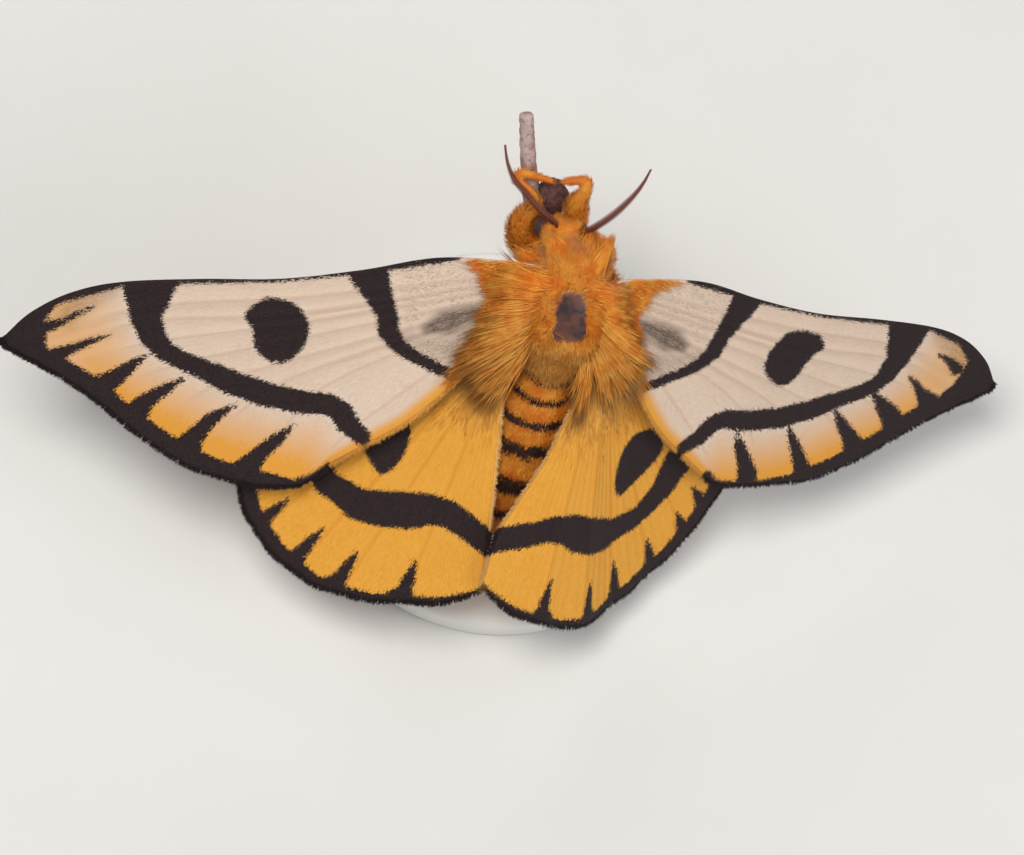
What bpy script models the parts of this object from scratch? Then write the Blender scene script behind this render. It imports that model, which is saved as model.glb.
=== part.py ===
"""A Nuttall's sheep moth, life size, resting head up on a cut twig over a plain stand.

Sizes are in millimetres and MM turns them into metres. The moth is drawn in its own frame, with X to its right,
Y to its head and Z out of its back, and an empty tips that frame head up over the stand.
"""

import math
import random

import bpy
from mathutils import Matrix, Vector
from mathutils.bvhtree import BVHTree
from mathutils.geometry import intersect_point_line

MM = 0.001
GAP = 0.3
ROOT_GAP = 0.45
ROOT_SINK = 0.6

# The stand, and how the moth is held over it.
BASE_RADIUS = 13.5
BASE_THICKNESS = 3.0
BASE_BEVEL = 0.5
ROD_RADIUS = 0.9
HEAD_UP = math.radians(38)
THORAX_PLACE = (0.5, 4.0, 28.0)

# Each wing's own attitude in degrees: droop of the tip, lift of the front edge, and sweep forwards.
FOREWING_HINGE = (3.5, 0.1, 1.5)
FOREWING_ATTITUDE = {"left": (6.9, 8.5, 0.0), "right": (27.3, 14.0, 3.8)}
HINDWING_HINGE = (3.6, -4.2, -0.6)
HINDWING_ATTITUDE = {"left": (7.3, 8.0, 0.0), "right": (28.8, 15.7, -9.7)}
MEMBRANE_HALF = 0.25
RIDGE_HEIGHT = 0.2
RIDGE_FOOT = 0.34
FOREWING_CAMBER = 0.6
WING_LENGTH = 33.0
CURVE_STEPS = 24
MARGIN_BULGE = 0.12

# The long tufts that lie over the wings, and a height above the whole moth.
TUFT_SAG = 2.2
ABOVE_ALL = 9.0


def clear_scene():
    for old in list(bpy.data.objects):
        bpy.data.objects.remove(old, do_unlink=True)


def finish(name, colour, roughness, metallic=0.0):
    """A plain material in the piece's own colour."""
    material = bpy.data.materials.new(name)
    material.use_nodes = True
    shader = material.node_tree.nodes["Principled BSDF"]
    shader.inputs["Base Color"].default_value = (*colour, 1)
    shader.inputs["Roughness"].default_value = roughness
    shader.inputs["Metallic"].default_value = metallic
    return material


def in_triangles(shape):
    """The same shape with every face split into triangles."""
    points, faces = shape
    return points, [(face[0], face[k], face[k + 1]) for face in faces for k in range(1, len(face) - 1)]


def mesh_object(name, shape, material=None, parent=None):
    """An object from a shape, which is a pair of points in millimetres and faces."""
    points, faces = shape
    mesh = bpy.data.meshes.new(name)
    mesh.from_pydata([Vector(p) * MM for p in points], [], faces)
    mesh.update()
    mesh.shade_smooth()
    obj = bpy.data.objects.new(name, mesh)
    bpy.context.scene.collection.objects.link(obj)
    if material:
        mesh.materials.append(material)
    obj.parent = parent
    return obj


def largest_surface(mesh):
    """Keeps the mesh's largest closed surface and drops the rest."""
    neighbours = {v: [] for v in range(len(mesh.vertices))}
    for edge in mesh.edges:
        a, b = edge.vertices
        neighbours[a].append(b)
        neighbours[b].append(a)
    group = [-1] * len(mesh.vertices)
    sizes = []
    for seed in range(len(group)):
        if group[seed] >= 0:
            continue
        group[seed] = len(sizes)
        stack = [seed]
        corners = [mesh.vertices[seed].co.copy(), mesh.vertices[seed].co.copy()]
        while stack:
            here = stack.pop()
            place = mesh.vertices[here].co
            for axis in range(3):
                corners[0][axis] = min(corners[0][axis], place[axis])
                corners[1][axis] = max(corners[1][axis], place[axis])
            for other in neighbours[here]:
                if group[other] < 0:
                    group[other] = group[here]
                    stack.append(other)
        sizes.append((corners[1] - corners[0]).length)
    kept = sizes.index(max(sizes))
    old_to_new = {}
    points = []
    for index, vertex in enumerate(mesh.vertices):
        if group[index] == kept:
            old_to_new[index] = len(points)
            points.append(tuple(vertex.co / MM))
    mesh.calc_loop_triangles()
    kept_triangles = [face.vertices for face in mesh.loop_triangles if group[face.vertices[0]] == kept]
    return points, [tuple(old_to_new[v] for v in face) for face in kept_triangles]


def combine(name, core, added=(), cutters=(), material=None, parent=None, solver="MANIFOLD"):
    """One closed body: the core shape joined with the added shapes, less the cutters."""
    body = mesh_object(name + "_core", in_triangles(core))
    for operation, shapes in (("UNION", added), ("DIFFERENCE", cutters)):
        if not shapes:
            continue
        group = bpy.data.collections.new(name + "_" + operation.lower())
        bpy.context.scene.collection.children.link(group)
        group.hide_render = True
        for number, shape in enumerate(shapes):
            piece = mesh_object(f"{name}_{operation.lower()}_{number}", in_triangles(shape))
            bpy.context.scene.collection.objects.unlink(piece)
            group.objects.link(piece)
        modifier = body.modifiers.new(operation.lower(), "BOOLEAN")
        modifier.operation = operation
        modifier.operand_type = "COLLECTION"
        modifier.collection = group
        modifier.solver = solver
        graph = bpy.context.evaluated_depsgraph_get()
        joined = bpy.data.meshes.new_from_object(body.evaluated_get(graph))
        bpy.data.objects.remove(body, do_unlink=True)
        body = mesh_object(name + "_joined", largest_surface(joined))
        for piece in list(group.objects):
            bpy.data.objects.remove(piece, do_unlink=True)
        bpy.data.collections.remove(group)
    body.name = name
    body.data.materials.append(material)
    body.parent = parent
    return body


def smooth_path(points, count):
    """Evenly spaced points along a smooth curve through the given ones."""
    points = [Vector(p) for p in points]
    ends = [points[0] * 2 - points[1]] + points + [points[-1] * 2 - points[-2]]
    fine = []
    for i in range(1, len(ends) - 2):
        a, b, c, d = ends[i - 1 : i + 3]
        for step in range(CURVE_STEPS):
            t = step / CURVE_STEPS
            fine.append(
                0.5 * (2 * b + (c - a) * t + (2 * a - 5 * b + 4 * c - d) * t * t + (3 * b - a - 3 * c + d) * t**3)
            )
    fine.append(points[-1])
    lengths = [0.0]
    for a, b in zip(fine, fine[1:]):
        lengths.append(lengths[-1] + (b - a).length)
    out = []
    at = 0
    for k in range(count):
        want = lengths[-1] * k / (count - 1)
        while at < len(fine) - 2 and lengths[at + 1] < want:
            at += 1
        share = (want - lengths[at]) / max(lengths[at + 1] - lengths[at], 1e-9)
        out.append(fine[at].lerp(fine[at + 1], min(share, 1.0)))
    return out


def along(values, share):
    """The value at a share of the way along a short list."""
    place = share * (len(values) - 1)
    low = min(int(place), len(values) - 2)
    return values[low] + (values[low + 1] - values[low]) * (place - low)


def frames(path, up):
    """A forward, side and up direction at each point of a path."""
    out = []
    for i in range(len(path)):
        forward = (path[min(i + 1, len(path) - 1)] - path[max(i - 1, 0)]).normalized()
        side = forward.cross(up).normalized()
        out.append((forward, side, side.cross(forward).normalized()))
    return out


def loft(path, widths, heights, sides, up=(0, 0, 1)):
    """A closed body of oval rings along a path, with a point at the middle of each end."""
    points = []
    faces = []
    for place, (_, side, top), wide, high in zip(path, frames(path, Vector(up)), widths, heights):
        for k in range(sides):
            angle = 2 * math.pi * k / sides
            points.append(place + side * (wide * math.cos(angle)) + top * (high * math.sin(angle)))
    for ring in range(len(path) - 1):
        for k in range(sides):
            a = ring * sides + k
            b = ring * sides + (k + 1) % sides
            faces.append((a, a + sides, b + sides, b))
    first = len(points)
    points.append(path[0])
    points.append(path[-1])
    last_ring = (len(path) - 1) * sides
    for k in range(sides):
        after = (k + 1) % sides
        faces.append((first, k, after))
        faces.append((first + 1, last_ring + after, last_ring + k))
    return points, faces


def on_loft(path, widths, heights, share, angle, up=(0, 0, 1)):
    """The point and the outward direction on a loft's surface, a share of the way along it."""
    rings = frames(path, Vector(up))
    place = share * (len(path) - 1)
    low = min(int(place), len(path) - 2)
    t = place - low
    centre = path[low].lerp(path[low + 1], t)
    side = rings[low][1].lerp(rings[low + 1][1], t)
    top = rings[low][2].lerp(rings[low + 1][2], t)
    wide = widths[low] + (widths[low + 1] - widths[low]) * t
    high = heights[low] + (heights[low + 1] - heights[low]) * t
    point = centre + side * (wide * math.cos(angle)) + top * (high * math.sin(angle))
    outward = side * (math.cos(angle) / wide) + top * (math.sin(angle) / high)
    return point, outward.normalized()


def ball(centre, radii, rings=8, sides=14):
    """A closed oval ball."""
    path = []
    widths = []
    heights = []
    for k in range(1, rings):
        angle = math.pi * k / rings
        path.append(Vector(centre) + Vector((0, -radii[1] * math.cos(angle), 0)))
        widths.append(radii[0] * math.sin(angle))
        heights.append(radii[2] * math.sin(angle))
    points, faces = loft(path, widths, heights, sides)
    points[-2] = Vector(centre) - Vector((0, radii[1], 0))
    points[-1] = Vector(centre) + Vector((0, radii[1], 0))
    return points, faces


def lock(spine, widths, thicknesses, out):
    """A flat tapered lock of hair: four-sided rings along a bent spine, ending in a point."""
    points = []
    faces = []
    rings = frames(spine, Vector(out))
    for place, (_, side, top), wide, thick in zip(spine[:-1], rings, widths, thicknesses):
        across = side * wide / 2
        through = top * thick / 2
        points += [place + across, place + through, place - across, place - through]
    for ring in range(len(spine) - 2):
        for k in range(4):
            a = ring * 4 + k
            b = ring * 4 + (k + 1) % 4
            faces.append((a, a + 4, b + 4, b))
    tip = len(points)
    points.append(spine[-1])
    last = (len(spine) - 2) * 4
    for k in range(4):
        faces.append((last + k, tip, last + (k + 1) % 4))
    faces.append((0, 1, 2, 3))
    return points, faces


def hair_lock(root, outward, lie, length, width, thickness, rise):
    """A lock that leaves the skin at its root, bends over and lies along the coat."""
    lie = (lie - outward * lie.dot(outward)).normalized()
    spine = [
        root - outward * ROOT_SINK - lie * 0.1,
        root + outward * (rise * 0.75) + lie * (length * 0.3),
        root + outward * rise + lie * (length * 0.65),
        root + outward * (rise * 0.5) + lie * length,
    ]
    widths = [width * 0.8, width, width * 0.75]
    thicknesses = [thickness, thickness, thickness * 0.8]
    return lock(spine, widths, thicknesses, outward), spine


def draped_lock(root, outward, end, width, thickness, neighbours, lift):
    """A long lock that leaves the skin, crosses over the wing root and lies on the wing as far as its end.

    Its spine sags towards its end by TUFT_SAG, and is raised wherever a neighbour stands higher below it.
    """
    spine = [root - outward * ROOT_SINK]
    for share in (0.3, 0.6, 0.85, 1.0):
        place = root.lerp(Vector((end[0], end[1], root.z)), share)
        height = root.z + outward.z * 0.5 * math.sin(math.pi * share) - TUFT_SAG * share * share
        for sideways in (-0.5, 0.0, 0.5):
            across = Vector((end[1] - root.y, root.x - end[0], 0)).normalized() * (width * sideways)
            for tree, _ in neighbours:
                high = Vector((place.x + across.x, place.y + across.y, ABOVE_ALL))
                hit = tree.ray_cast(high, Vector((0, 0, -1)))[0]
                if hit:
                    height = max(height, hit.z + thickness / 2 + 1.25 * GAP + 0.1 * share + lift)
        spine.append(Vector((place.x, place.y, height)))
    widths = [width * 0.8, width, width, width * 0.7]
    thicknesses = [thickness, thickness, thickness, thickness * 0.8]
    return lock(spine, widths, thicknesses, Vector((0, 0, 1))), spine


def neighbour(shape):
    """A shape's search tree and its points, to keep other pieces clear of it."""
    points, faces = shape
    points = [Vector(p) for p in points]
    return BVHTree.FromPolygons(points, faces), points


def neighbour_of(obj):
    """The same of a finished object."""
    points = [vertex.co / MM for vertex in obj.data.vertices]
    return neighbour((points, [tuple(face.vertices) for face in obj.data.polygons]))


def clear_of(shape, spine, neighbours):
    """Whether a lock crosses none of its neighbours and keeps a small gap from them."""
    own, spots = neighbour(shape)
    middle = sum(spots, Vector()) / len(spots)
    reach = max((spot - middle).length for spot in spots) + GAP
    for a, b in zip(spine[1:], spine[2:]):
        spots = spots + [a.lerp(b, 0.33), a.lerp(b, 0.67)]
    for tree, points in neighbours:
        if own.overlap(tree):
            return False
        if any(tree.find_nearest(spot, GAP)[0] for spot in spots):
            return False
        for point in points:
            if (point - middle).length_squared < reach * reach and own.find_nearest(point, GAP)[0]:
                return False
    return True


def coat(roots, neighbours):
    """The locks that grow from these roots, lifted or shortened where a neighbour is in the way."""
    out = []
    for root, outward, lie, length, width, thickness, rise in roots:
        for lift, share in ((0, 1), (0.3, 1), (0.6, 0.9), (0.2, 0.75), (0.9, 0.8), (0.1, 0.55)):
            shape, spine = hair_lock(root, outward, lie, length * share, width, thickness, rise + lift)
            if clear_of(shape, spine, neighbours):
                out.append(outward_faces(shape))
                break
    return out


def wing_frame(side, attitude, hinge):
    """The hinge and the axes of a wing drawn flat: out from the hinge, forwards, and up off its face."""
    droop, lift, sweep = (math.radians(a) for a in attitude[side])
    turn = Matrix.Rotation(droop, 3, "Y") @ Matrix.Rotation(lift, 3, "X") @ Matrix.Rotation(sweep, 3, "Z")
    mirror = Matrix.Diagonal((-1 if side == "left" else 1, 1, 1))
    return mirror @ Vector(hinge), mirror @ turn


# The thorax: rings from the neck back to the waist, as place, half width and half height.
THORAX_PATH = [
    Vector(p)
    for p in (
        (-0.6, 2.0, -0.3), (-0.4, 1.3, -0.1), (-0.2, 0.1, 0.0), (-0.1, -1.6, 0.0), (-0.1, -3.4, -0.2),
        (-0.1, -5.0, -0.7), (-0.2, -5.9, -1.2),
    )
]
THORAX_WIDTHS = (1.3, 2.4, 3.05, 3.2, 3.0, 2.5, 1.9)
THORAX_HEIGHTS = (1.2, 2.2, 2.95, 3.1, 2.85, 2.3, 1.7)

# The abdomen sags and swings a little to the left. Its rings bulge between the joints.
ABDOMEN_AXIS = (
    (-0.2, -6.2, -1.4), (-0.5, -9.0, -3.0), (-0.9, -13.0, -4.1), (-1.4, -17.0, -4.7), (-1.7, -20.4, -5.1),
)
ABDOMEN_RADII = (1.7, 2.4, 2.7, 2.75, 2.65, 2.4, 2.0, 1.3, 0.5)
ABDOMEN_SEGMENTS = 7
ABDOMEN_RINGS = 22


def thorax_gap(point):
    """How far a point lies off the thorax, near enough."""
    best = 1e9
    for i in range(len(THORAX_PATH) - 1):
        a, b = THORAX_PATH[i], THORAX_PATH[i + 1]
        _, t = intersect_point_line(point, a, b)
        t = min(max(t, 0.0), 1.0)
        centre = a.lerp(b, t)
        wide = THORAX_WIDTHS[i] + (THORAX_WIDTHS[i + 1] - THORAX_WIDTHS[i]) * t
        high = THORAX_HEIGHTS[i] + (THORAX_HEIGHTS[i + 1] - THORAX_HEIGHTS[i]) * t
        away = point - centre
        scaled = math.sqrt((away.x / wide) ** 2 + (away.z / high) ** 2 + (away.y / ((wide + high) / 2)) ** 2)
        best = min(best, (scaled - 1) * min(wide, high))
    return best


# The forewing's lines from root to margin: where each starts on the hinge, the points it runs through,
# and the share of its length where its vein rises as a ridge (1 or more: no vein).
FOREWING_LINES = (
    (
        1.3,
        (
            (5.5, 0.7), (10.5, -1.2), (15.6, -2.9), (21.0, -4.1), (26.0, -5.5), (29.2, -7.1), (31.6, -9.2),
            (33.1, -11.4),
        ),
        0.0,
    ),
    (0.7, ((14.0, -3.9), (24.0, -6.9), (32.8, -12.0)), 0.0),
    (0.2, ((14.3, -5.2), (24.0, -8.0), (31.5, -12.5)), 0.0),
    (-0.3, ((14.6, -6.1), (23.0, -9.3), (30.0, -13.0)), 0.42),
    (-0.8, ((14.6, -7.4), (21.0, -10.5), (26.9, -14.3)), 0.45),
    (-1.3, ((14.3, -8.9), (19.0, -12.0), (23.4, -16.4)), 0.45),
    (-1.7, ((12.4, -9.1), (16.5, -13.0), (19.5, -18.2)), 0.0),
    (-2.1, ((9.6, -8.6), (13.0, -12.5), (15.2, -18.6)), 0.3),
    (-2.5, ((6.3, -9.6), (9.6, -13.6), (12.2, -17.9)), 0.0),
    (-3.0, ((3.5, -8.8), (5.8, -11.8), (8.3, -14.1), (10.2, -15.8), (11.0, -16.9)), 2.0),
)
FOREWING_STEPS = 11

# The hindwing as a fan of rays: degrees from straight back, length, and whether a vein runs along it.
# The folds are degrees at each ray.
HINDWING_RAYS = (
    (88, 13.5, 0), (78, 16.8, 0), (68, 18.3, 1), (58, 19.2, 1), (52, 20.5, 0), (45, 22.1, 1), (37, 23.3, 1),
    (28, 23.7, 1), (19.5, 23.2, 1), (9, 21.7, 1), (1, 20.7, 0), (-4.9, 19.4, 0),
)
HINDWING_FOLDS = {
    "left": (0, 0, 0, 0, -1, -2, -2, 0, 0, 0, 0, 0),
    "right": (0, 0, 0, 0, -1, -3, -12, -12, 19, 14, 0, 0),
}
HINDWING_ROOT = {
    "left": ((0.0, 0.9), (0.0, 0.2), (0.0, -0.5), (-0.1, -1.0), (-0.25, -1.5)),
    "right": ((0.0, 0.9), (0.05, 0.2), (-0.05, -0.5), (-0.4, -1.1), (-0.95, -1.4)),
}
HINDWING_STEPS = 5


def forewing_rise(u, v):
    """How high the forewing bulges off its flat plane, with the raised fold along its inner edge."""
    bulge = FOREWING_CAMBER * math.sin(math.pi * min(max(u / WING_LENGTH, 0.0), 1.0))
    behind_fold = max(0.0, -(v + 3.2 + 0.95 * (u - 1.0)) / 1.38)
    return bulge + 0.12 * min(behind_fold, 3.0)


def wing_solid(lines, ridges, normals, steps):
    """A closed thin solid over lines from root to margin, split into triangles alike on both faces."""
    across = len(lines)
    points = []
    faces = []
    for face in (1, -1):
        for line, ridge, normal in zip(lines, ridges, normals):
            for step in range(steps):
                half = MEMBRANE_HALF * (0.75 if step == steps - 1 else 1.0)
                lift = half + (ridge[step] if face == 1 else 0.0)
                points.append(line[step] + normal[step] * (lift * face))
    under = across * steps
    for i in range(across - 1):
        for j in range(steps - 1):
            a = i * steps + j
            b = a + steps
            for triangle in ((a, a + 1, b + 1), (a, b + 1, b)):
                faces.append(triangle)
                faces.append(tuple(under + k for k in reversed(triangle)))
    rim = [i * steps for i in range(across)]
    rim += [(across - 1) * steps + j for j in range(1, steps)]
    rim += [i * steps + steps - 1 for i in range(across - 2, -1, -1)]
    rim += [j for j in range(steps - 2, 0, -1)]
    for a, b in zip(rim, rim[1:] + rim[:1]):
        faces.append((a, b, b + under))
        faces.append((a, b + under, a + under))
    return points, faces


def outward_faces(shape):
    """Turns a closed shape's faces round if they point inwards."""
    points, faces = shape
    volume = 0.0
    for face in faces:
        for k in range(1, len(face) - 1):
            a, b, c = (Vector(points[i]) for i in (face[0], face[k], face[k + 1]))
            volume += a.dot(b.cross(c))
    if volume < 0:
        faces = [tuple(reversed(face)) for face in faces]
    return points, faces


def with_ridges(mains, rises, steps, spread):
    """Adds to each main line a foot on each side of its ridge, and a line midway to the next."""
    lines = []
    ridges = []
    flat = [0.0] * steps

    def part_way(a, b, reach):
        out = []
        for p, q in zip(a, b):
            share = min(reach / max((q - p).length, 1e-6), 0.36)
            out.append(p.lerp(q, share))
        return out

    for k, line in enumerate(mains):
        veined = max(rises[k]) > 0
        if veined and k > 0:
            lines.append(part_way(line, mains[k - 1], RIDGE_FOOT))
            ridges.append(flat)
        lines.append(line)
        ridges.append(rises[k])
        if k == len(mains) - 1:
            continue
        if veined:
            lines.append(part_way(line, mains[k + 1], RIDGE_FOOT))
            ridges.append(flat)
        if spread[k]:
            lines.append([p.lerp(q, 0.5) for p, q in zip(line, mains[k + 1])])
            ridges.append(flat)
    return lines, ridges


def forewing_shape(side):
    """The forewing: a thin bulged membrane with its main veins raised on top."""
    hinge, axes = wing_frame(side, FOREWING_ATTITUDE, FOREWING_HINGE)
    mains = []
    rises = []
    for root, through, ridge_from in FOREWING_LINES:
        flat = smooth_path([(0.0, root, 0.0)] + [(u, v, 0.0) for u, v in through], FOREWING_STEPS)
        placed = [hinge + axes @ Vector((p.x, p.y, forewing_rise(p.x, p.y))) for p in flat]
        start = placed[0]
        inward = (start - placed[1]).normalized()
        reach = 0.0
        while thorax_gap(start + inward * (reach + 0.05)) > ROOT_GAP and reach < 1.5:
            reach += 0.05
        placed[0] = start + inward * reach
        while thorax_gap(placed[0]) < ROOT_GAP:
            placed[0] = placed[0] - inward * 0.05
        mains.append(placed)
        rise = []
        for step in range(FOREWING_STEPS):
            share = step / (FOREWING_STEPS - 1)
            rise.append(0.0 if share < ridge_from else RIDGE_HEIGHT * (1 - 0.6 * share**3))
        rises.append(rise)
    lines, ridges = with_ridges(mains, rises, FOREWING_STEPS, (0, 0, 0, 1, 1, 1, 1, 1, 1))
    up = axes @ Vector((0, 0, 1))
    normals = [[up] * FOREWING_STEPS for _ in lines]
    return outward_faces(wing_solid(lines, ridges, normals, FOREWING_STEPS))


def hindwing_rays(side):
    """Each ray's end, folded over from the front edge to the inner edge, with its face's direction and its vein.

    A plain ray is added midway between each two, to round the margin.
    """
    hinge, axes = wing_frame(side, HINDWING_ATTITUDE, HINDWING_HINGE)
    sign = -1 if side == "left" else 1
    listed = []
    for k, (degrees, length, vein) in enumerate(HINDWING_RAYS):
        listed.append((degrees, length, vein, HINDWING_FOLDS[side][k]))
        if 0 < k < len(HINDWING_RAYS) - 2:
            around = [HINDWING_RAYS[k + j] for j in (-1, 0, 1, 2)]
            bulged = (9 * (around[1][1] + around[2][1]) - around[0][1] - around[3][1]) / 16
            listed.append(((around[1][0] + around[2][0]) / 2, bulged + MARGIN_BULGE, 0, 0))
    normal = (axes @ Vector((0, 0, 1))).normalized()
    angles = [math.radians(ray[0]) for ray in listed]
    direction = axes @ Vector((math.sin(angles[0]), -math.cos(angles[0]), 0))
    out = []
    for k, (_, length, vein, fold) in enumerate(listed):
        if k:
            direction = Matrix.Rotation((angles[k - 1] - angles[k]) * -sign, 3, normal) @ direction
        before = normal.copy()
        normal = Matrix.Rotation(math.radians(fold) * sign, 3, direction) @ normal
        out.append((hinge + direction * length, (before + normal).normalized(), vein))
    return hinge, out


def hindwing_shape(side):
    """The hindwing: a fan that folds over the abdomen, with its veins raised on top."""
    hinge, rays = hindwing_rays(side)
    sign = -1 if side == "left" else 1
    mains = []
    rises = []
    face_directions = []
    for k, (end, normal, vein) in enumerate(rays):
        inward, forwards = ([spot[axis] for spot in HINDWING_ROOT[side]] for axis in (0, 1))
        share = k / (len(rays) - 1)
        start = hinge + Vector((along(inward, share) * sign, along(forwards, share), 0))
        while thorax_gap(start) < ROOT_GAP:
            start = start.lerp(end, 0.01)
        shares = [j / (HINDWING_STEPS - 1) for j in range(HINDWING_STEPS)]
        mains.append([start.lerp(end, reach) for reach in shares])
        high = 0.75 * RIDGE_HEIGHT * vein
        rises.append([high * min(1, 4 * reach) * (1 - 0.6 * reach**3) for reach in shares])
        face_directions.append(normal)
    lines, ridges = with_ridges(mains, rises, HINDWING_STEPS, [0] * len(mains))
    normals = []
    level = sum(face_directions, Vector()).normalized()
    for line in lines:
        near = min(range(len(mains)), key=lambda k: (mains[k][-1] - line[-1]).length)
        turns = [min(1, j / 2) for j in range(HINDWING_STEPS)]
        normals.append([level.lerp(face_directions[near], turn).normalized() for turn in turns])
    return outward_faces(wing_solid(lines, ridges, normals, HINDWING_STEPS))


clear_scene()
chance = random.Random(4)
pose = bpy.data.objects.new("moth_pose", None)
bpy.context.scene.collection.objects.link(pose)
pose.location = Vector(THORAX_PLACE) * MM
pose.rotation_euler = (HEAD_UP, 0, 0)

orange_hair = finish("orange_hair", (0.62, 0.24, 0.05), 0.8)
banded_hair = finish("banded_hair", (0.45, 0.16, 0.04), 0.8)
cream_scales = finish("cream_scales", (0.70, 0.60, 0.48), 0.7)
gold_scales = finish("gold_scales", (0.70, 0.38, 0.07), 0.7)
dark_shell = finish("dark_shell", (0.05, 0.03, 0.025), 0.25)
brown_shell = finish("brown_shell", (0.20, 0.07, 0.04), 0.5)
leg_hair = finish("leg_hair", (0.60, 0.26, 0.06), 0.7)
bark = finish("bark", (0.42, 0.33, 0.30), 0.85)
painted_base = finish("painted_base", (0.80, 0.79, 0.76), 0.5)
steel = finish("steel", (0.60, 0.60, 0.60), 0.3, 1.0)

# Wings
wings = []
for side in ("left", "right"):
    for name, shape, material in (
        ("forewing", forewing_shape(side), cream_scales),
        ("hindwing", hindwing_shape(side), gold_scales),
    ):
        mesh_object(f"{name}_{side}", shape, material, pose)
        wings.append(neighbour(shape))

# Perch: a cut twig that slopes under the chest, thickest at its knot.
TWIG = (
    (-4.65, 9.8, -3.4), (-3.6, 5.4, -4.1), (-2.6, 2.6, -4.9), (-0.8, -1.0, -5.9), (1.1, -5.5, -6.8),
    (2.2, -8.5, -7.3),
)
TWIG_RADII = (0.5, 0.55, 0.6, 0.75, 0.62, 0.65, 0.68, 0.7, 0.7)
TWIG_RINGS = 19
TWIG_SIDES = 12
TWIG_BUD = ((-1.85, 4.05, -4.2), (1.1, 1.3, 0.85))
twig_path = smooth_path(TWIG, TWIG_RINGS)
twig_radii = [along(TWIG_RADII, k / (TWIG_RINGS - 1)) for k in range(TWIG_RINGS)]
twig_shape = outward_faces(loft(twig_path, twig_radii, twig_radii, TWIG_SIDES))
bud = outward_faces(ball(*TWIG_BUD, rings=7, sides=10))
combine("perch_twig", twig_shape, [bud], (), bark, pose)
perch = [neighbour(twig_shape), neighbour(bud)]

# Legs: hip, knee and ankle, then either the foot's own points or its turns round the twig as shares of the twig's
# length and degrees round it, where 0 is the moth's left and 90 its chest.
FOOT_RADIUS = 0.25
LEG_RADII = (0.45, 0.5, 0.5, 0.45, 0.38, 0.27, 0.25, 0.24, 0.17)
FORELEG_RADII = {
    "front_left": (0.5, 0.7, 0.72, 0.5, 0.38, 0.34, 0.3, 0.27, 0.17),
    "front_right": (0.55, 0.65, 0.7, 0.7, 0.65, 0.48, 0.29, 0.26, 0.17),
}
LEGS = {
    "front_left": (
        (
            (-2.2, 1.0, -3.1), (-3.65, 1.75, -2.55), (-3.7, 2.9, -2.45), (-3.15, 3.8, -2.45), (-3.35, 4.65, -2.45),
            (-4.05, 5.3, -2.5), (-4.65, 5.75, -2.55), (-4.55, 6.2, -2.6), (-3.9, 6.3, -2.65), (-2.15, 5.85, -2.75),
        ),
        (),
    ),
    "front_right": (
        (
            (0.3, 1.7, -3.1), (-0.1, 3.0, -3.0), (-0.3, 4.4, -2.6), (0.1, 5.75, -2.3), (-0.05, 6.45, -2.35),
            (-0.7, 6.35, -2.45), (-1.4, 5.95, -2.6),
        ),
        (),
    ),
    "middle_left": (
        ((-1.9, -0.4, -3.5), (-3.5, 0.4, -4.4), (-3.9, 1.6, -4.9)),
        ((0.36, 15), (0.36, 45), (0.37, 75)),
    ),
    "middle_right": (
        ((1.4, -0.4, -3.5), (2.5, 0.2, -4.4), (2.0, 0.9, -5.3)),
        ((0.46, 190), (0.46, 225), (0.46, 260)),
    ),
    "hind_left": (
        ((-1.6, -3.2, -3.4), (-3.4, -3.6, -4.5), (-3.0, -3.9, -5.9)),
        ((0.71, 0), (0.72, -35), (0.73, -70)),
    ),
    "hind_right": (
        ((1.4, -3.2, -3.4), (3.5, -3.4, -4.2), (3.6, -4.6, -5.2)),
        ((0.75, 160), (0.76, 195), (0.77, 230)),
    ),
}
LEG_RINGS = 17
LEG_SIDES = 8


def round_twig(share, degrees):
    """A point beside the twig that leaves a foot clear of its bark."""
    clear = [r + 1.2 * GAP + FOOT_RADIUS for r in twig_radii]
    return on_loft(twig_path, clear, clear, share, math.radians(degrees))[0]


legs = []
for name, (joints, turns) in LEGS.items():
    path = smooth_path(list(joints) + [round_twig(share, degrees) for share, degrees in turns], LEG_RINGS)
    leg_radii = FORELEG_RADII.get(name, LEG_RADII)
    radii = [along(leg_radii, k / (LEG_RINGS - 1)) for k in range(LEG_RINGS)]
    shape = outward_faces(loft(path, radii, radii, LEG_SIDES))
    mesh_object(f"leg_{name}", shape, leg_hair, pose)
    legs.append(neighbour(shape))

# Eyes and feelers
HEAD_CENTRE = Vector((-0.95, 3.45, -0.7))
HEAD_RADII = (1.35, 1.05, 1.2)
EYE_RADIUS = 0.72
EYE_OUT = 1.3
EYE_FORWARD = 0.3
EYE_DOWN = 0.4
face = []
sockets = []
for side, sign in (("left", -1), ("right", 1)):
    centre = HEAD_CENTRE + Vector((sign * EYE_OUT, EYE_FORWARD, -EYE_DOWN))
    shape = outward_faces(ball(centre, [EYE_RADIUS] * 3))
    mesh_object(f"eye_{side}", shape, dark_shell, pose)
    face.append(neighbour(shape))
    sockets.append(outward_faces(ball(centre, [EYE_RADIUS + 0.85 * GAP] * 3)))

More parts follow.
